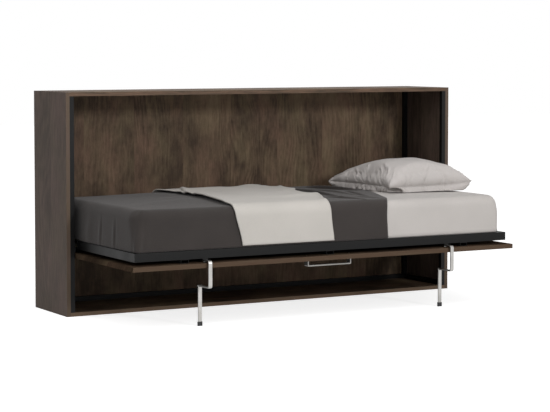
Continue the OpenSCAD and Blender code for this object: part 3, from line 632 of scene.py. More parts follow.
def finer(grid: Array) -> Array:
    """Doubles a grid of points both ways with smooth points in between.

    Args:
        grid: points by row and column.

    Returns:
        The finer grid, whose rim depends only on the rim of the first.
    """
    for _ in range(2):
        padded = np.concatenate([grid[:1] * 2 - grid[1:2], grid, grid[-1:] * 2 - grid[-2:-1]])
        middle = (9 * (padded[1:-2] + padded[2:-1]) - padded[:-3] - padded[3:]) / 16
        fine = np.empty((2 * len(grid) - 1, *grid.shape[1:]))
        fine[::2] = grid
        fine[1::2] = middle
        grid = fine.transpose(1, 0, 2)
    return grid


@dataclass
class Block:
    """The padded block that the mattress fills, and the skins that lie on it."""

    node: str = "mattress"
    edge: float = 0.042
    base_edge: float = 0.008
    corner_low: float = 0.016
    corner_top: float = 0.072
    head_low: float = 0.020
    head_top: float = 0.052
    crown: float = 0.005
    head_reach: float = 0.4
    least_radius: float = 0.003
    low: Array = field(init=False)
    high: Array = field(init=False)

    def __post_init__(self) -> None:
        """Reads the block's corners from the frame."""
        self.low, self.high = (np.array(c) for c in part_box(self.node))
        self.middle = (self.low + self.high) / 2
        self.half = (self.high - self.low)[:2] / 2
        self.shoulder = self.high[2] - self.crown
        self.arc = self.edge * math.pi / 2

    def section(self, climb: Array, start_z: float) -> tuple[Array, ...]:
        """Follows the block's section from a hem up its side and in over its top.

        Args:
            climb: distance along the section from the hem.
            start_z: height of the hem.

        Returns:
            How far in from the outline, how high, and the tilt of the outward normal from the
            vertical, at each distance.
        """
        wall = self.shoulder - self.edge - start_z
        turn = np.clip((climb - wall) / self.arc, 0, 1) * math.pi / 2
        inward = np.maximum(climb - wall - self.arc, 0)
        inset = self.edge * (1 - np.cos(turn)) + inward
        rise = smooth_step(inward / (self.half[1] - self.edge) * 0.5) * 2
        height = np.where(climb < wall, start_z + climb,
                          self.shoulder - self.edge * (1 - np.sin(turn)) + self.crown * rise)
        return inset, height, math.pi / 2 - turn

    def reach(self, start_z: float) -> float:
        """Returns the cloth's length from a hem to the top's straight part."""
        return self.shoulder - self.edge - start_z + self.arc

    def width(self, start_z: float) -> float:
        """Returns the cloth's length across the block, from hem to hem."""
        return 2 * (self.reach(start_z) + self.half[1] - self.edge)

    def underside(self, climb: Array) -> tuple[Array, ...]:
        """Follows the block's section from the foot of its side in under its base.

        Args:
            climb: distance along the grid from the rim to the middle.

        Returns:
            What section returns.
        """
        arc = self.base_edge * math.pi / 2
        turn = np.clip(climb / arc, 0, 1) * math.pi / 2
        share = np.clip((climb - arc) / (climb.max() - arc), 0, 1)
        inset = self.base_edge * (1 - np.cos(turn)) + share * (self.half[1] - self.base_edge)
        return inset, self.low[2] + self.base_edge * (1 - np.sin(turn)), math.pi / 2 + turn

    def corner(self, height: Array) -> Array:
        """Returns the radius of the upright corners, which grows towards the top."""
        share = (height - self.low[2]) / (self.shoulder - self.edge - self.low[2])
        return self.corner_low + (self.corner_top - self.corner_low) * smooth_step(share)

    def head_corner(self, height: Array) -> Array:
        """Returns the radius of the upright corners at the head end, wide only at the top."""
        share = (height - self.low[2]) / (self.shoulder - self.low[2])
        return self.head_low + (self.head_top - self.head_low) * smooth_step(2 * share - 1)

    def skin(self, p: Array, q: Array, start_z: float, length: float | None, head_x: Array | None,
             section: tuple[Array, ...] | None = None) -> tuple[Array, Array]:
        """Lays a cloth over the foot end of the block, or over the whole of it.

        Args:
            p: distance of each point from the foot hem, measured in the cloth.
            q: distance of each point from the front hem, measured in the cloth.
            start_z: height of the hems.
            length: length of the cloth from hem to hem, where it also hangs at the head end.
            head_x: where each point's row ends towards the head, where it doesn't.
            section: the section to follow, where it isn't the one over the top.

        Returns:
            The points and their outward normals.
        """
        width = self.width(start_z)
        ends = p if length is None else np.minimum(p, length - p)
        climb = np.minimum(ends, np.minimum(q, width - q))
        inset, height, tilt = section or self.section(climb, start_z)
        a, b = self.half[0] - inset, self.half[1] - inset
        on_end = ends <= np.minimum(q, width - q)
        if length is None:
            run = self.full_length(start_z)
            stop = head_x - self.middle[0]
            x = -a + (p - climb) * (stop + a) / np.maximum(run - climb, SMALL)
        else:
            x = -a + (p - climb) * 2 * a / np.maximum(length - 2 * climb, SMALL)
        y = -b + (q - climb) * 2 * b / np.maximum(width - 2 * climb, SMALL)
        x_foot = x < 0
        near_head = np.where(x_foot, True, length is not None)
        radius = np.where(x_foot, self.corner(height), self.head_corner(height))
        radius = np.maximum(radius - inset, self.least_radius)
        x_end = np.where(x_foot, -1.0, 1.0)
        y_end = np.where(y < 0, -1.0, 1.0)
        ex, ey = a - np.abs(x), b - np.abs(y)
        side_turn = np.clip(1 - ex / radius, 0, 1) * math.pi / 4 * near_head
        end_turn = math.pi / 2 - np.clip(1 - ey / radius, 0, 1) * math.pi / 4
        turn = np.where(on_end, end_turn, side_turn)
        px = np.where(on_end | ((ex < radius) & near_head), x_end * (a - radius + radius * np.sin(turn)), x)
        py = np.where(~on_end | (ey < radius), y_end * (b - radius + radius * np.cos(turn)), y)
        points = np.stack([px + self.middle[0], py + self.middle[1], height], axis=1)
        out = np.stack([x_end * np.sin(turn) * np.sin(tilt), y_end * np.cos(turn) * np.sin(tilt),
                        np.cos(tilt)], axis=1)
        return points, out

    def full_length(self, start_z: float) -> float:
        """Returns the cloth's length from the foot hem to its head edge on the flat top."""
        return self.reach(start_z) - self.edge + self.half[0] + self.head_reach


def flat_grid(length: float, width: float, step: float) -> tuple[Array, Array, list[int]]:
    """Lays out the points of a flat cloth, row by row.

    Args:
        length: length of the cloth.
        width: width of the cloth.
        step: distance between points.

    Returns:
        How far each point lies along and across the cloth, and the number of rows and columns.
    """
    counts = [round(length / step), round(width / step)]
    lines = [np.linspace(0, side, count) for side, count in zip((length, width), counts)]
    p, q = np.meshgrid(*lines, indexing="ij")
    return p.ravel(), q.ravel(), counts


@dataclass(frozen=True)
class Lamp:
    """A square area lamp with its place, the point that it faces, its side and its power in watts."""

    name: str
    place: Point
    target: Point
    side: float
    power: float

    def hang(self) -> None:
        """Hangs the lamp at its place."""
        data = bpy.data.lights.new(self.name, "AREA")
        data.size = self.side
        data.energy = self.power
        lamp = bpy.data.objects.new(self.name, data)
        lamp.location = self.place
        aim = Vector(self.target) - Vector(self.place)
        lamp.rotation_euler = aim.to_track_quat("-Z", "Y").to_euler()
        bpy.context.scene.collection.objects.link(lamp)


@dataclass
class Studio:
    """Floor, light and camera: a far key and a low lamp in front, one above and a fill at the left."""

    focal_px: float = 1871.76
    frame_width_px: int = 550
    turn: float = 29.2341
    tip: float = 3.3548
    place: Point = (-4.5515, -8.4047, 1.2875)
    shift_px: float = -50.0
    sensor_mm: float = 36.0
    floor_side: float = 40.0
    floor_colour: Colour = (238, 238, 238)
    floor_glow: float = 0.71
    sky: float = 0.44
    lamps: tuple[Lamp, ...] = (
        Lamp("key", (2.4, -11.3, 4.0), (0.1, -0.2, 0.6), 1.5, 445.0),
        Lamp("above", (-0.7, -1.9, 3.5), (0.0, -0.5, 0.5), 2.2, 47.0),
        Lamp("fill", (-3.6, -3.6, 2.4), (0.0, -0.2, 0.4), 2.6, 17.0),
        Lamp("low", (-0.6, -7.0, 0.45), (0.0, -0.2, 0.2), 0.8, 22.0))

    def build(self) -> None:
        """Makes the camera, the world, the lamps and the floor."""
        self.make_camera()
        self.make_world()
        for lamp in self.lamps:
            lamp.hang()
        self.make_floor()
        bpy.context.scene.view_settings.view_transform = "Standard"

    def make_camera(self) -> None:
        """Places the camera where the photograph was taken from."""
        data = bpy.data.cameras.new("camera")
        data.sensor_fit = "HORIZONTAL"
        data.sensor_width = self.sensor_mm
        data.lens = self.focal_px / self.frame_width_px * self.sensor_mm
        data.shift_y = self.shift_px / self.frame_width_px
        data.clip_end = 100.0
        camera = bpy.data.objects.new("camera", data)
        camera.location = self.place
        camera.rotation_euler = (math.radians(90 - self.tip), 0.0, math.radians(-self.turn))
        bpy.context.scene.collection.objects.link(camera)
        bpy.context.scene.camera = camera

    def make_world(self) -> None:
        """Makes a soft even sky that shows white behind the object and in its reflections."""
        world = bpy.data.worlds.new("sky")
        world.use_nodes = True
        world.node_tree.nodes.clear()
        t = Tree(world.node_tree)
        path = t.add("LightPath").outputs
        mirrored = t.math("MAXIMUM", path["Is Glossy Ray"], path["Is Transmission Ray"])
        seen = t.math("MAXIMUM", path["Is Camera Ray"], mirrored)
        plain = t.add("Background", {0: WHITE, 1: self.sky}).outputs[0]
        white = t.add("Background", {0: WHITE, 1: 1.0}).outputs[0]
        either = t.add("MixShader", {0: seen, 1: plain, 2: white}).outputs[0]
        t.add("OutputWorld", {0: either})
        bpy.context.scene.world = world

    def make_floor(self) -> None:
        """Lays the pale floor, which keeps the object's shadow."""
        half = self.floor_side / 2
        points = np.array([(-half, -half, 0), (half, -half, 0), (half, half, 0), (-half, half, 0)])
        floor = mesh_from("floor", points, [(0, 1, 2, 3)])
        g = Graph("pale_floor")
        path = g.add("LightPath").outputs
        seen = g.math("MAXIMUM", path["Is Camera Ray"], path["Is Glossy Ray"])
        glow = g.math("MULTIPLY", seen, self.floor_glow)
        floor.data.materials.append(g.finish(
            Base_Color=linear(self.floor_colour), Roughness=0.9, Specular_IOR_Level=0.0,
            Emission_Color=WHITE, Emission_Strength=glow))


@dataclass
class HardPieces:
    """A sub-assembly of hard pieces, which only need their finishes."""

    title: str
    nodes: dict[object, list[str]]

    def dress(self) -> None:
        """Gives each node its finish."""
        for finish, nodes in self.nodes.items():
            material = finish.material()
            for node in nodes:
                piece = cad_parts[node]
                piece.data.materials.clear()
                piece.data.materials.append(material)
                LOG.info("%s: %s in %s", self.title, node, finish.name)


def both(*names: str) -> list[str]:
    """Returns the left and the right node of each pair."""
    return [side + name for name in names for side in ("left_", "right_")]


def thicken(piece: Piece, thickness: float) -> None:
    """Gives a cloth its thickness, outwards.

    Args:
        piece: the cloth as an open mesh whose faces look outwards.
        thickness: thickness of the cloth.
    """
    shell = piece.modifiers.new("thickness", "SOLIDIFY")
    shell.thickness = thickness
    shell.offset = 1.0
    shell.use_even_offset = False


@dataclass
class Mattress:
    """The mattress in its fitted sheet."""

    block: Block
    finish: ClothFinish
    step: float = 0.014
    sag: float = 0.0012
    sags_per_metre: float = 4.0

    def build(self) -> Piece:
        """Models the sheeted mattress as one closed padded form."""
        block = self.block
        foot_z = block.low[2] + block.base_edge
        length = 2 * (block.reach(foot_z) + block.half[0] - block.edge)
        width = block.width(foot_z)
        p, q, counts = flat_grid(length, width, self.step)
        points, out = block.skin(p, q, foot_z, length, None)
        upper = points + out * (self.sag * (waves(points, self.sags_per_metre) - 1))[:, None]
        climb = np.minimum(np.minimum(p, length - p), np.minimum(q, width - q))
        lower, _ = block.skin(p, q, foot_z, length, None, block.underside(climb))
        rim = climb < TINY
        upper[rim] = lower[rim]
        piece = mesh_from("mattress_in_sheet", np.vstack([upper, lower]), two_layers(*counts))
        close_up(piece)
        piece.data.materials.append(self.finish.material())
        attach(piece, "bed")
        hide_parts("mattress")
        LOG.info("bedding: mattress in its sheet, %d points", len(piece.data.vertices))
        return piece


@dataclass
class Cover:
    """The charcoal cover over the foot end."""

    block: Block
    finish: ClothFinish
    step: float = 0.0075
    thickness: float = 0.0026
    lift: float = 0.0008
    swell: float = 0.0012
    swells_per_metre: float = 3.0
    hem: float = 0.3605
    edge_front: tuple[Pair, ...] = (
        (-0.98, 0.327), (-0.84, 0.318), (-0.79, 0.326), (-0.76, 0.352), (-0.696, 0.382),
        (-0.614, 0.410), (-0.532, 0.442), (-0.44, 0.472), (-0.36, 0.498), (-0.17, 0.515),
        (0.09, 0.515))
    folds: tuple[Fold, ...] = (
        Fold((-1.02, -0.59, 0.35), (-1.02, -0.60, 0.50), 0.006, -0.006),
        Fold((-1.02, -0.57, 0.35), (-1.02, -0.58, 0.48), 0.014, 0.004),
        Fold((-1.02, -0.43, 0.35), (-1.02, -0.45, 0.50), 0.006, -0.006),
        Fold((-1.02, -0.41, 0.35), (-1.02, -0.43, 0.48), 0.014, 0.004),
        Fold((-1.02, -0.28, 0.36), (-1.02, -0.31, 0.48), 0.035, 0.005),
        Fold((-1.01, -0.78, 0.36), (-0.985, -0.765, 0.54), 0.010, -0.007),
        Fold((-0.985, -0.81, 0.36), (-0.955, -0.785, 0.53), 0.009, -0.006),
        Fold((-1.00, -0.80, 0.36), (-0.97, -0.775, 0.54), 0.014, 0.006),
        *at_height(0.55, [
            (-0.70, 0.00, 0.10, 0.00, 0.110, 0.008), (-0.95, -0.58, -0.55, -0.40, 0.050, 0.004),
            (-0.70, -0.36, -0.46, -0.20, 0.040, 0.003), (0.20, 0.03, 0.46, 0.05, 0.030, 0.006),
            (0.36, 0.00, 0.45, -0.32, 0.019, 0.020, 1.3), (0.22, -0.05, 0.18, -0.64, 0.016, 0.014, 1.2),
            (0.29, -0.12, 0.31, -0.52, 0.014, 0.009, 1.1),
            (0.13, -0.58, 0.22, -0.76, 0.013, 0.010, 1.0),
            (0.37, -0.36, 0.33, -0.62, 0.014, 0.010, 1.0),
            (0.27, -0.60, 0.33, -0.75, 0.013, 0.006, 0.8)]),
        Fold((0.14, -0.81, 0.38), (0.22, -0.81, 0.52), 0.030, 0.003))

    def build(self) -> Piece:
        """Models the cover as one cloth draped over the foot end, with its soft folds."""
        block = self.block
        run, width = block.full_length(self.hem), block.width(self.hem)
        p, q, counts = flat_grid(run, width, self.step)
        across = q - block.reach(self.hem) + block.edge + block.low[1]
        head_x = through(self.edge_front, np.minimum(across, block.high[1]), 0.03)
        points, out = block.skin(p, q, self.hem, None, head_x)
        rise = self.lift + self.swell * (1 + waves(points, self.swells_per_metre))
        points = points + out * rise[:, None] + sum(fold.shift(points, out) for fold in self.folds)
        piece = mesh_from("foot_cover", points, grid_faces(*counts))
        thicken(piece, self.thickness)
        piece.data.materials.append(self.finish.material())
        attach(piece, "bed")
        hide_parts("bed_cover")
        LOG.info("bedding: cover, cut %.2f by %.2f m", run, width)
        return piece


@dataclass
class Throw:
    """The pale throw laid across the bed."""

    block: Block
    finish: ClothFinish
    step: float = 0.008
    thickness: float = 0.0055
    lift: float = 0.0080
    swell: float = 0.0015
    swells_per_metre: float = 3.5
    hem: float = 0.3675
    broad: float = 0.63
    rim_width: float = 0.012
    rim_lift: float = 0.004
    roll: float = 0.018
    roll_share: float = 0.65
    rolled: Pair = (0.20, 0.76)
    left_edge: tuple[Pair, ...] = (
        (0.0, -0.470), (0.07, -0.489), (0.13, -0.513), (0.20, -0.528), (0.26, -0.512),
        (0.45, -0.478), (0.65, -0.448), (0.80, -0.424), (0.86, -0.440), (0.98, -0.500),
        (1.05, -0.515), (1.32, -0.515))
    right_edge: tuple[Pair, ...] = (
        (0.0, 0.018), (0.07, 0.006), (0.14, -0.002), (0.20, -0.006), (0.24, 0.012), (0.35, 0.068),
        (0.44, 0.104), (0.50, 0.088), (0.55, 0.074), (0.70, 0.112), (0.77, 0.165), (0.82, 0.178),
        (0.92, 0.177), (1.02, 0.215), (1.32, 0.220))
    folds: tuple[Fold, ...] = (
        *at_height(0.56, [
            (-0.70, 0.00, 0.10, 0.00, 0.095, 0.011), (-0.52, 0.04, -0.24, 0.05, 0.060, 0.003),
            (-0.24, 0.05, -0.10, 0.06, 0.050, 0.004), (-0.035, 0.07, 0.10, 0.05, 0.034, 0.018),
            (-0.35, 0.05, -0.435, -0.20, 0.015, 0.026, 1.3),
            (-0.455, -0.20, -0.385, 0.02, 0.011, -0.014), (-0.470, -0.18, -0.41, -0.01, 0.013, 0.013),
            (-0.02, -0.34, 0.16, -0.16, 0.026, 0.007), (-0.10, -0.57, 0.10, -0.51, 0.030, 0.012),
            (-0.30, -0.45, 0.00, -0.62, 0.045, 0.004)]),
        Fold((-0.20, -0.81, 0.37), (-0.16, -0.81, 0.52), 0.040, 0.002))

    def build(self) -> Piece:
        """Models the throw as one thick cloth, laid over the cover from front to back."""
        block = self.block
        width = block.width(self.hem)
        p, q, counts = flat_grid(self.broad, width, self.step)
        left = through(self.left_edge, q, 0.07)
        right = through(self.right_edge, q, 0.03)
        x = left + p / self.broad * (right - left)
        climb = np.minimum(q, width - q)
        inset, height, tilt = block.section(climb, self.hem)
        side = np.where(q < width / 2, -1.0, 1.0)
        y = block.middle[1] + side * (block.half[1] - inset)
        points = np.stack([x, y, height], axis=1)
        out = np.stack([0 * x, side * np.sin(tilt), np.cos(tilt)], axis=1)
        rim = np.minimum(x - left, right - x)
        first, last = self.rolled
        along = smooth_step((q - first) / 0.12) * smooth_step((last - q) / 0.05)
        bulge = np.exp(-((((x - left) - self.roll) / self.roll) ** 2))
        rise = self.lift + self.swell * (1 + waves(points, self.swells_per_metre))
        rise = rise + self.rim_lift * np.exp(-((rim / self.rim_width) ** 2)) * np.cos(tilt)
        rise = rise + self.roll_share * self.roll * bulge * along * np.cos(tilt)
        points = points + out * rise[:, None] + sum(fold.shift(points, out) for fold in self.folds)
        piece = mesh_from("laid_throw", points, grid_faces(*counts))
        thicken(piece, self.thickness)
        piece.data.materials.append(self.finish.material())
        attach(piece, "bed")
        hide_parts("throw")
        LOG.info("bedding: throw, cut %.2f by %.2f m", self.broad, width)
        return piece


@dataclass(frozen=True)
class Pleat:
    """One gather in the pillow case, from its seam inwards, in shares of the half sizes."""

    BOW = 0.10
    RIDGE = 0.55

    start: Pair
    end: Pair
    width: float
    depth: float

    def drop(self, u: Array, v: Array, half: Array) -> Array:
        """Works out how far the gather sinks the case: a sharp valley with a soft ridge beside it.

        Args:
            u: place along the pillow, from -1 to 1.
            v: place across the pillow, from -1 to 1.
            half: half of the pillow's length and width.

        Returns:
            The depth at each place.
        """
        a, b = np.array(self.start) * half, np.array(self.end) * half
        run = b - a
        x, y = u * half[0] - a[0], v * half[1] - a[1]
        t = (x * run[0] + y * run[1]) / (run @ run)
        bow = self.BOW * np.sin(np.clip(t, 0, 1) * math.pi) * np.linalg.norm(run)
        gap = (x * run[1] - y * run[0]) / np.linalg.norm(run) - bow
        ends = smooth_step((t + 0.05) / 0.2) * smooth_step((1.0 - t) / 0.55)
        wide = self.width * (0.6 + 0.8 * np.clip(t, 0, 1))
        valley = np.exp(-np.abs(gap / wide) ** 1.5)
        ridge = np.exp(-((gap / wide - 1.7) ** 2)) + 0.5 * np.exp(-((gap / wide + 1.9) ** 2))
        return self.depth * ends * (valley - self.RIDGE * ridge)


@dataclass(frozen=True)
class Hill:
    """A soft hill on the pillow: its middle and its spread in shares of the half sizes, and height."""

    u: float
    v: float
    u_spread: float
    v_spread: float
    height: float = 1.0

    def rise(self, u: Array, v: Array) -> Array:
        """Returns the hill's height at places along and across the pillow."""
        far = ((u - self.u) / self.u_spread) ** 2 + ((v - self.v) / self.v_spread) ** 2
        return self.height * np.exp(-far)


def case_grid(rows: int, columns: int) -> tuple[Array, ...]:
    """Returns places along and across the pillow, from -1 to 1, at the points of a grid."""
    return tuple(np.meshgrid(np.linspace(-1, 1, rows), np.linspace(-1, 1, columns), indexing="ij"))


def from_rim(u: Array, v: Array, half: Pair = (1.0, 1.0)) -> Array:
    """Returns how far places lie inside the pillow's rim, by its half length and width."""
    return np.minimum((1 - np.abs(u)) * half[0], (1 - np.abs(v)) * half[1])


@dataclass
class Pillow:
    """The pillow at the head end: a flat sewn case, blown up by cloth simulation and set down."""

    finish: ClothFinish
    node: str = "pillow"
    turn: float = 1.0
    cell: float = 0.0095
    flat: Pair = (0.54, 0.66)
    seam: float = 0.029
    lip: float = 0.0036
    roll: float = 0.046
    ear: float = 0.012
    pressure: float = 5.0
    frames: int = 14
    keep: float = 0.6
    slump: float = 0.34
    gather_share: float = 0.95
    gather_rim: float = 0.012
    lip_rim: float = 0.006
    lip_reach: float = 0.11
    fullness: tuple[Hill, ...] = (Hill(0.84, -0.77, 0.25, 0.25, 0.022),
                                  Hill(-0.78, 0.78, 0.20, 0.20, 0.010))
    fullness_rim: float = 0.022
    upper_share: float = 0.97
    lower_share: float = 1.35
    hung: Hill = Hill(-1, -1, 0.34, 0.75, 1.25)
    seam_bends: tuple[Hill, ...] = (Hill(-1, -1, 0.34, 0.30, -0.10), Hill(1, -1, 0.30, 0.30, 0.30),
                                    Hill(1, 1, 0.30, 0.30, 0.30))
    tuck: Hill = Hill(-1, -1, 0.26, 0.24)
    tuck_reach: Pair = (0.002, 0.012)
    tuck_under: Pair = (0.085, 0.070)
    crease: float = 0.020
    crease_turns: tuple[float, float, float] = (62.0, 21.0, 12.0)
    crease_sway: float = 2.2
    ears: tuple[tuple[int, float], ...] = ((1, 0.040), (-1, 0.026))
    ear_spread: float = 0.06
    ear_lift: float = 0.016
    lump: float = 0.004
    lumps_per_metre: float = 7.0
    pleats: tuple[Pleat, ...] = (
        Pleat((-0.98, 0.52), (-0.80, 0.72), 0.006, 0.005),
        Pleat((-0.98, 0.24), (-0.74, 0.60), 0.006, 0.013),
        Pleat((-0.98, 0.06), (-0.80, 0.40), 0.005, 0.011),
        Pleat((-0.86, 0.04), (-0.62, 0.30), 0.007, 0.012),
        Pleat((-0.98, -0.22), (-0.84, -0.02), 0.006, 0.006),
        Pleat((-0.98, -0.42), (-0.80, -0.20), 0.007, 0.010),
        Pleat((-0.98, -0.58), (-0.74, -0.24), 0.006, 0.011),
        Pleat((-0.98, -0.68), (-0.62, -0.22), 0.006, 0.014),
        Pleat((-0.98, -0.78), (-0.68, -0.40), 0.006, 0.013),
        Pleat((0.96, -0.60), (0.70, -0.30), 0.008, 0.004),
        Pleat((0.94, -0.90), (0.66, -0.66), 0.008, 0.006))

    def build(self) -> Piece:
        """Models the pillow as a stuffed case that rests on the mattress."""
        low, high = (np.array(c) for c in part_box(self.node))
        n, m = (round(side / self.cell) for side in self.flat)
        u, v = case_grid(n + 1, m + 1)
        layers = self.stuffed_case(u, v)
        points, faces = self.dress(layers, high - low)
        c, s = math.cos(math.radians(self.turn)), math.sin(math.radians(self.turn))
        turned = np.stack([c * points[:, 0] - s * points[:, 1], s * points[:, 0] + c * points[:, 1],
                           points[:, 2]], axis=1)
        grown = ((high - low)[:2] + self.ear) / np.ptp(turned[:, :2], axis=0)
        turned[:, :2] = (turned[:, :2] - turned[:, :2].min(axis=0)) * grown
        piece = mesh_from("pillow_in_case", turned + low - (0.0, self.ear, 0.0), faces)
        close_up(piece)
        piece.data.materials.append(self.finish.material())
        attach(piece, "bed")
        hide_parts("pillow")
        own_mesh(piece)
        LOG.info("bedding: pillow, case sewn %.2f by %.2f m", *self.flat)
        return piece

    def stuffed_case(self, u: Array, v: Array) -> list[Array]:
        """Sews the flat case and blows it up.

        Args:
            u: place along the flat case, from -1 to 1.
            v: place across the flat case, from -1 to 1.

        Returns:
            Its upper and lower layer.
        """
        rows, columns = u.shape
        x, y = self.flat[0] / 2 * u, self.flat[1] / 2 * v
        swell = (1 - u * u) * (1 - v * v)
        start = 0.002 * (swell > 0) + 0.010 * swell
        layers = [np.stack([x, y, side * start], axis=2).reshape(-1, 3) for side in (1, -1)]
        case = mesh_from("case", np.vstack(layers), two_layers(rows, columns))
        keys = close_up(case)
        blow_up(case, self.pressure, self.frames)
        blown = evaluated_points(case)[keys]
        bpy.data.objects.remove(case, do_unlink=True)
        bpy.context.scene.frame_set(1)
        return [half.reshape(rows, columns, 3) for half in np.split(blown, 2)]

    def dress(self, layers: list[Array], size: Array) -> tuple[Array, Faces]:
        """Refines the layers, shapes crown, base and corners and lays in the gathers.

        Args:
            layers: upper and lower layer of the case.
            size: length, width and height that the pillow takes up.

        Returns:
            The points, standing on zero height, and the faces.
        """
        top_z = layers[0][:, :, 2].max()
        half = size[:2] / 2
        done = []
        for layer, upper in zip(layers, (True, False)):
            fine = finer(layer)
            rows, columns = fine.shape[:2]
            u, v = case_grid(rows, columns)
            fine[:, :, :2] *= size[:2] / np.array(self.flat)
            spread = smooth_step(((v - u) / 2 + 0.1) / 1.1)
            rise = fine[:, :, 2] * ((size[2] - self.seam) / top_z) * (1 - self.slump * spread)
            full = sum(hill.rise(u, v) for hill in self.fullness)
            inner = smooth_step(from_rim(u, v, half) / self.fullness_rim)
            above = self.upper_share * rise + full * inner
            below = (self.lower_share - self.hung.rise(u, v)) * rise
            fine[:, :, 2] = self.seam_height(u, v) + np.where(rise > 0, above, below)
            for i, place in enumerate((u, v)):
                inward = np.minimum((1 - np.abs(place)) * half[i], self.roll)
                fine[:, :, i] += np.sign(place) * inward * (1 - inward / self.roll)
            fine = self.gathered(fine, u, v, half, upper)
            done.append(self.settled(fine, u, v, upper))
        points = np.vstack([layer.reshape(-1, 3) for layer in done])
        points[:, 2] = np.clip(points[:, 2], 0.0, size[2])
        return points, two_layers(rows, columns)

    def seam_height(self, u: Array, v: Array) -> Array:
        """Returns the height of the seam: low at the front left corner, curled up at the right."""
        return self.seam * sum((bend.rise(u, v) for bend in self.seam_bends), 1.0)

    def gathered(self, layer: Array, u: Array, v: Array, half: Array, upper: bool) -> Array:
        """Sinks the gathers and the seam's groove into a layer along its normals.

        Args:
            layer: points of the layer by row and column.
            u: place along the pillow, from -1 to 1.
            v: place across the pillow, from -1 to 1.
            half: half of the pillow's length and width.
            upper: whether this is the upper layer.

        Returns:
            The layer with its gathers.
        """
        across = np.cross(np.gradient(layer, axis=0), np.gradient(layer, axis=1))
        across /= np.maximum(np.linalg.norm(across, axis=2, keepdims=True), TINY)
        outward = across * np.where(across[:, :, 2:].mean() > 0, 1.0, -1.0)
        inward = from_rim(u, v, half)
        share, side = (1.0, 1.0) if upper else (self.gather_share, -1.0)
        rim = smooth_step(inward / self.gather_rim)
        drop = sum(pleat.drop(u, v, half) for pleat in self.pleats) * share * rim
        groove = smooth_step(inward / self.lip_rim) * np.exp(-((inward / self.lip_reach) ** 2))
        drop = drop - self.lip * groove
        return layer - side * outward * drop[:, :, None]

    def settled(self, layer: Array, u: Array, v: Array, upper: bool) -> Array:
        """Tucks in the front left corner, pulls out the ears and makes the filling uneven.

        Args:
            layer: points of the layer by row and column.
            u: place along the pillow, from -1 to 1.
            v: place across the pillow, from -1 to 1.
            upper: whether this is the upper layer.

        Returns:
            The same layer, changed.
        """
        tuck = self.tuck.rise(u, v)
        for axis, reach in enumerate(self.tuck_reach):
            layer[:, :, axis] += reach * tuck
        if not upper:
            inner = smooth_step(from_rim(u, v) / 0.06)
            for axis, reach in enumerate(self.tuck_under):
                layer[:, :, axis] += reach * tuck * inner
            across, sway, along = self.crease_turns
            y = layer[:, :, 1]
            phase = across * y + self.crease_sway * np.sin(sway * y) + along * u
            valley = 1 - np.abs(np.sin(phase)) ** 0.6
            near = np.exp(-(((u + 1) / 0.30) ** 2)) * smooth_step((0.55 - v) / 0.4) * inner
            layer[:, :, 0] += self.crease * valley * near
        for side, reach in self.ears:
            tip = np.exp(-np.hypot(u - side, v + side) / self.ear_spread)
            layer[:, :, 0] += side * reach * tip
            layer[:, :, 1] -= side * reach * tip
            layer[:, :, 2] += self.ear_lift * tip * (side > 0)
        soft = waves(layer.reshape(-1, 3), self.lumps_per_metre, 2).reshape(u.shape)
        layer[:, :, 2] += self.lump * soft * smooth_step(from_rim(u, v) / 0.3)
        return layer


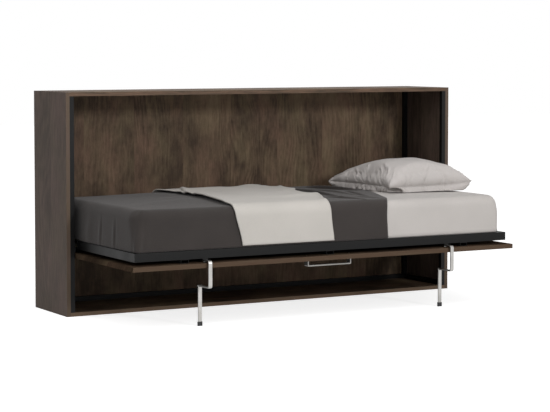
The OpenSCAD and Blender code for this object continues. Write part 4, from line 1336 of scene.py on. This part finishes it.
def main() -> None:
    """Builds the studio, dresses the hard pieces and makes the bedding."""
    logging.basicConfig(level=logging.INFO, format="%(name)s: %(message)s")
    Studio().build()
    oak_upright = OakFinish("dark_oak_upright", Grain.UPRIGHT, cloudy=0.35, dark=(46, 37, 31),
                            olive=(88, 76, 66), red=(90, 75, 68), pale=(103, 89, 77))
    oak_back = OakFinish("dark_oak_back", Grain.UPRIGHT, banded=False, offset=0.35)
    oak_along = OakFinish("dark_oak_along", Grain.ALONG, band=(63, 54, 44))
    oak_base = OakFinish("dark_oak_base", Grain.ALONG, band=(98, 85, 70))
    oak_door = OakFinish("dark_oak_door", Grain.ALONG, dark=(44, 35, 28), olive=(78, 66, 52),
                         red=(80, 63, 52), pale=(94, 80, 64), band=(85, 72, 59), sheen=0.0)
    coat = CoatFinish("black_powder_coat")
    chrome = MetalFinish("satin_chrome", (172, 170, 167), 0.35)
    brushed = MetalFinish("brushed_steel", (132, 130, 127), 0.42)
    zinc = MetalFinish("zinc_plate", (168, 168, 164), 0.34)
    bronze = MetalFinish("bush_bronze", (150, 118, 66), 0.36)
    plastic = MouldedFinish("black_moulding")
    rubber = MouldedFinish("foot_rubber", (30, 30, 31), 0.75, 800.0)
    beech = SlatFinish("beech_slat")
    assemblies = [
        HardPieces("cabinet", {
            oak_upright: both("side_panel"), oak_back: ["back_panel"], oak_along: ["top_panel"],
            oak_base: ["bottom_panel"],
            coat: [*both("front_post", "rear_post", "side_rails"), "rear_rail",
                   *both("pivot_bracket"), "frame_screws"],
            zinc: [*both("pivot_pin", "spring_stud"), "cam_locks", "cam_bolts", "back_screws"]}),
        HardPieces("bed", {
            coat: ["front_rail", "back_rail", "foot_rail", "head_rail", "cross_bars",
                   "mattress_stops", "leg_spacers", *both("pivot_plate")],
            beech: ["slats"], plastic: ["slat_holders"], bronze: both("bush"),
            zinc: [*both("lower_stud"), "door_screws", "handle_screws", "leg_bolts"],
            oak_door: ["door_panel"], brushed: ["handle"]}),
        HardPieces("legs", {
            chrome: both("leg_bracket", "leg_bar"), zinc: both("leg_pin"), rubber: both("foot")}),
        HardPieces("springs", {coat: both("spring_tube"), chrome: both("spring_rod")})]
    for assembly in assemblies:
        assembly.dress()
    block = Block()
    sheet = ClothFinish("pale_sheet_cotton", (189, 184, 180))
    Mattress(block, sheet).build()
    Cover(block, ClothFinish("charcoal_cotton", (58, 53, 51), slub=0.12)).build()
    Throw(block, ClothFinish("pale_throw_cotton", (191, 186, 180))).build()
    Pillow(ClothFinish("pillow_case_cotton", (192, 186, 183))).build()


def plain(corners: object) -> list[list[float]]:
    """Returns a pair of corners as plain lists of numbers."""
    return [[float(value) for value in corner] for corner in corners]


if __name__ == "__main__":
    main()
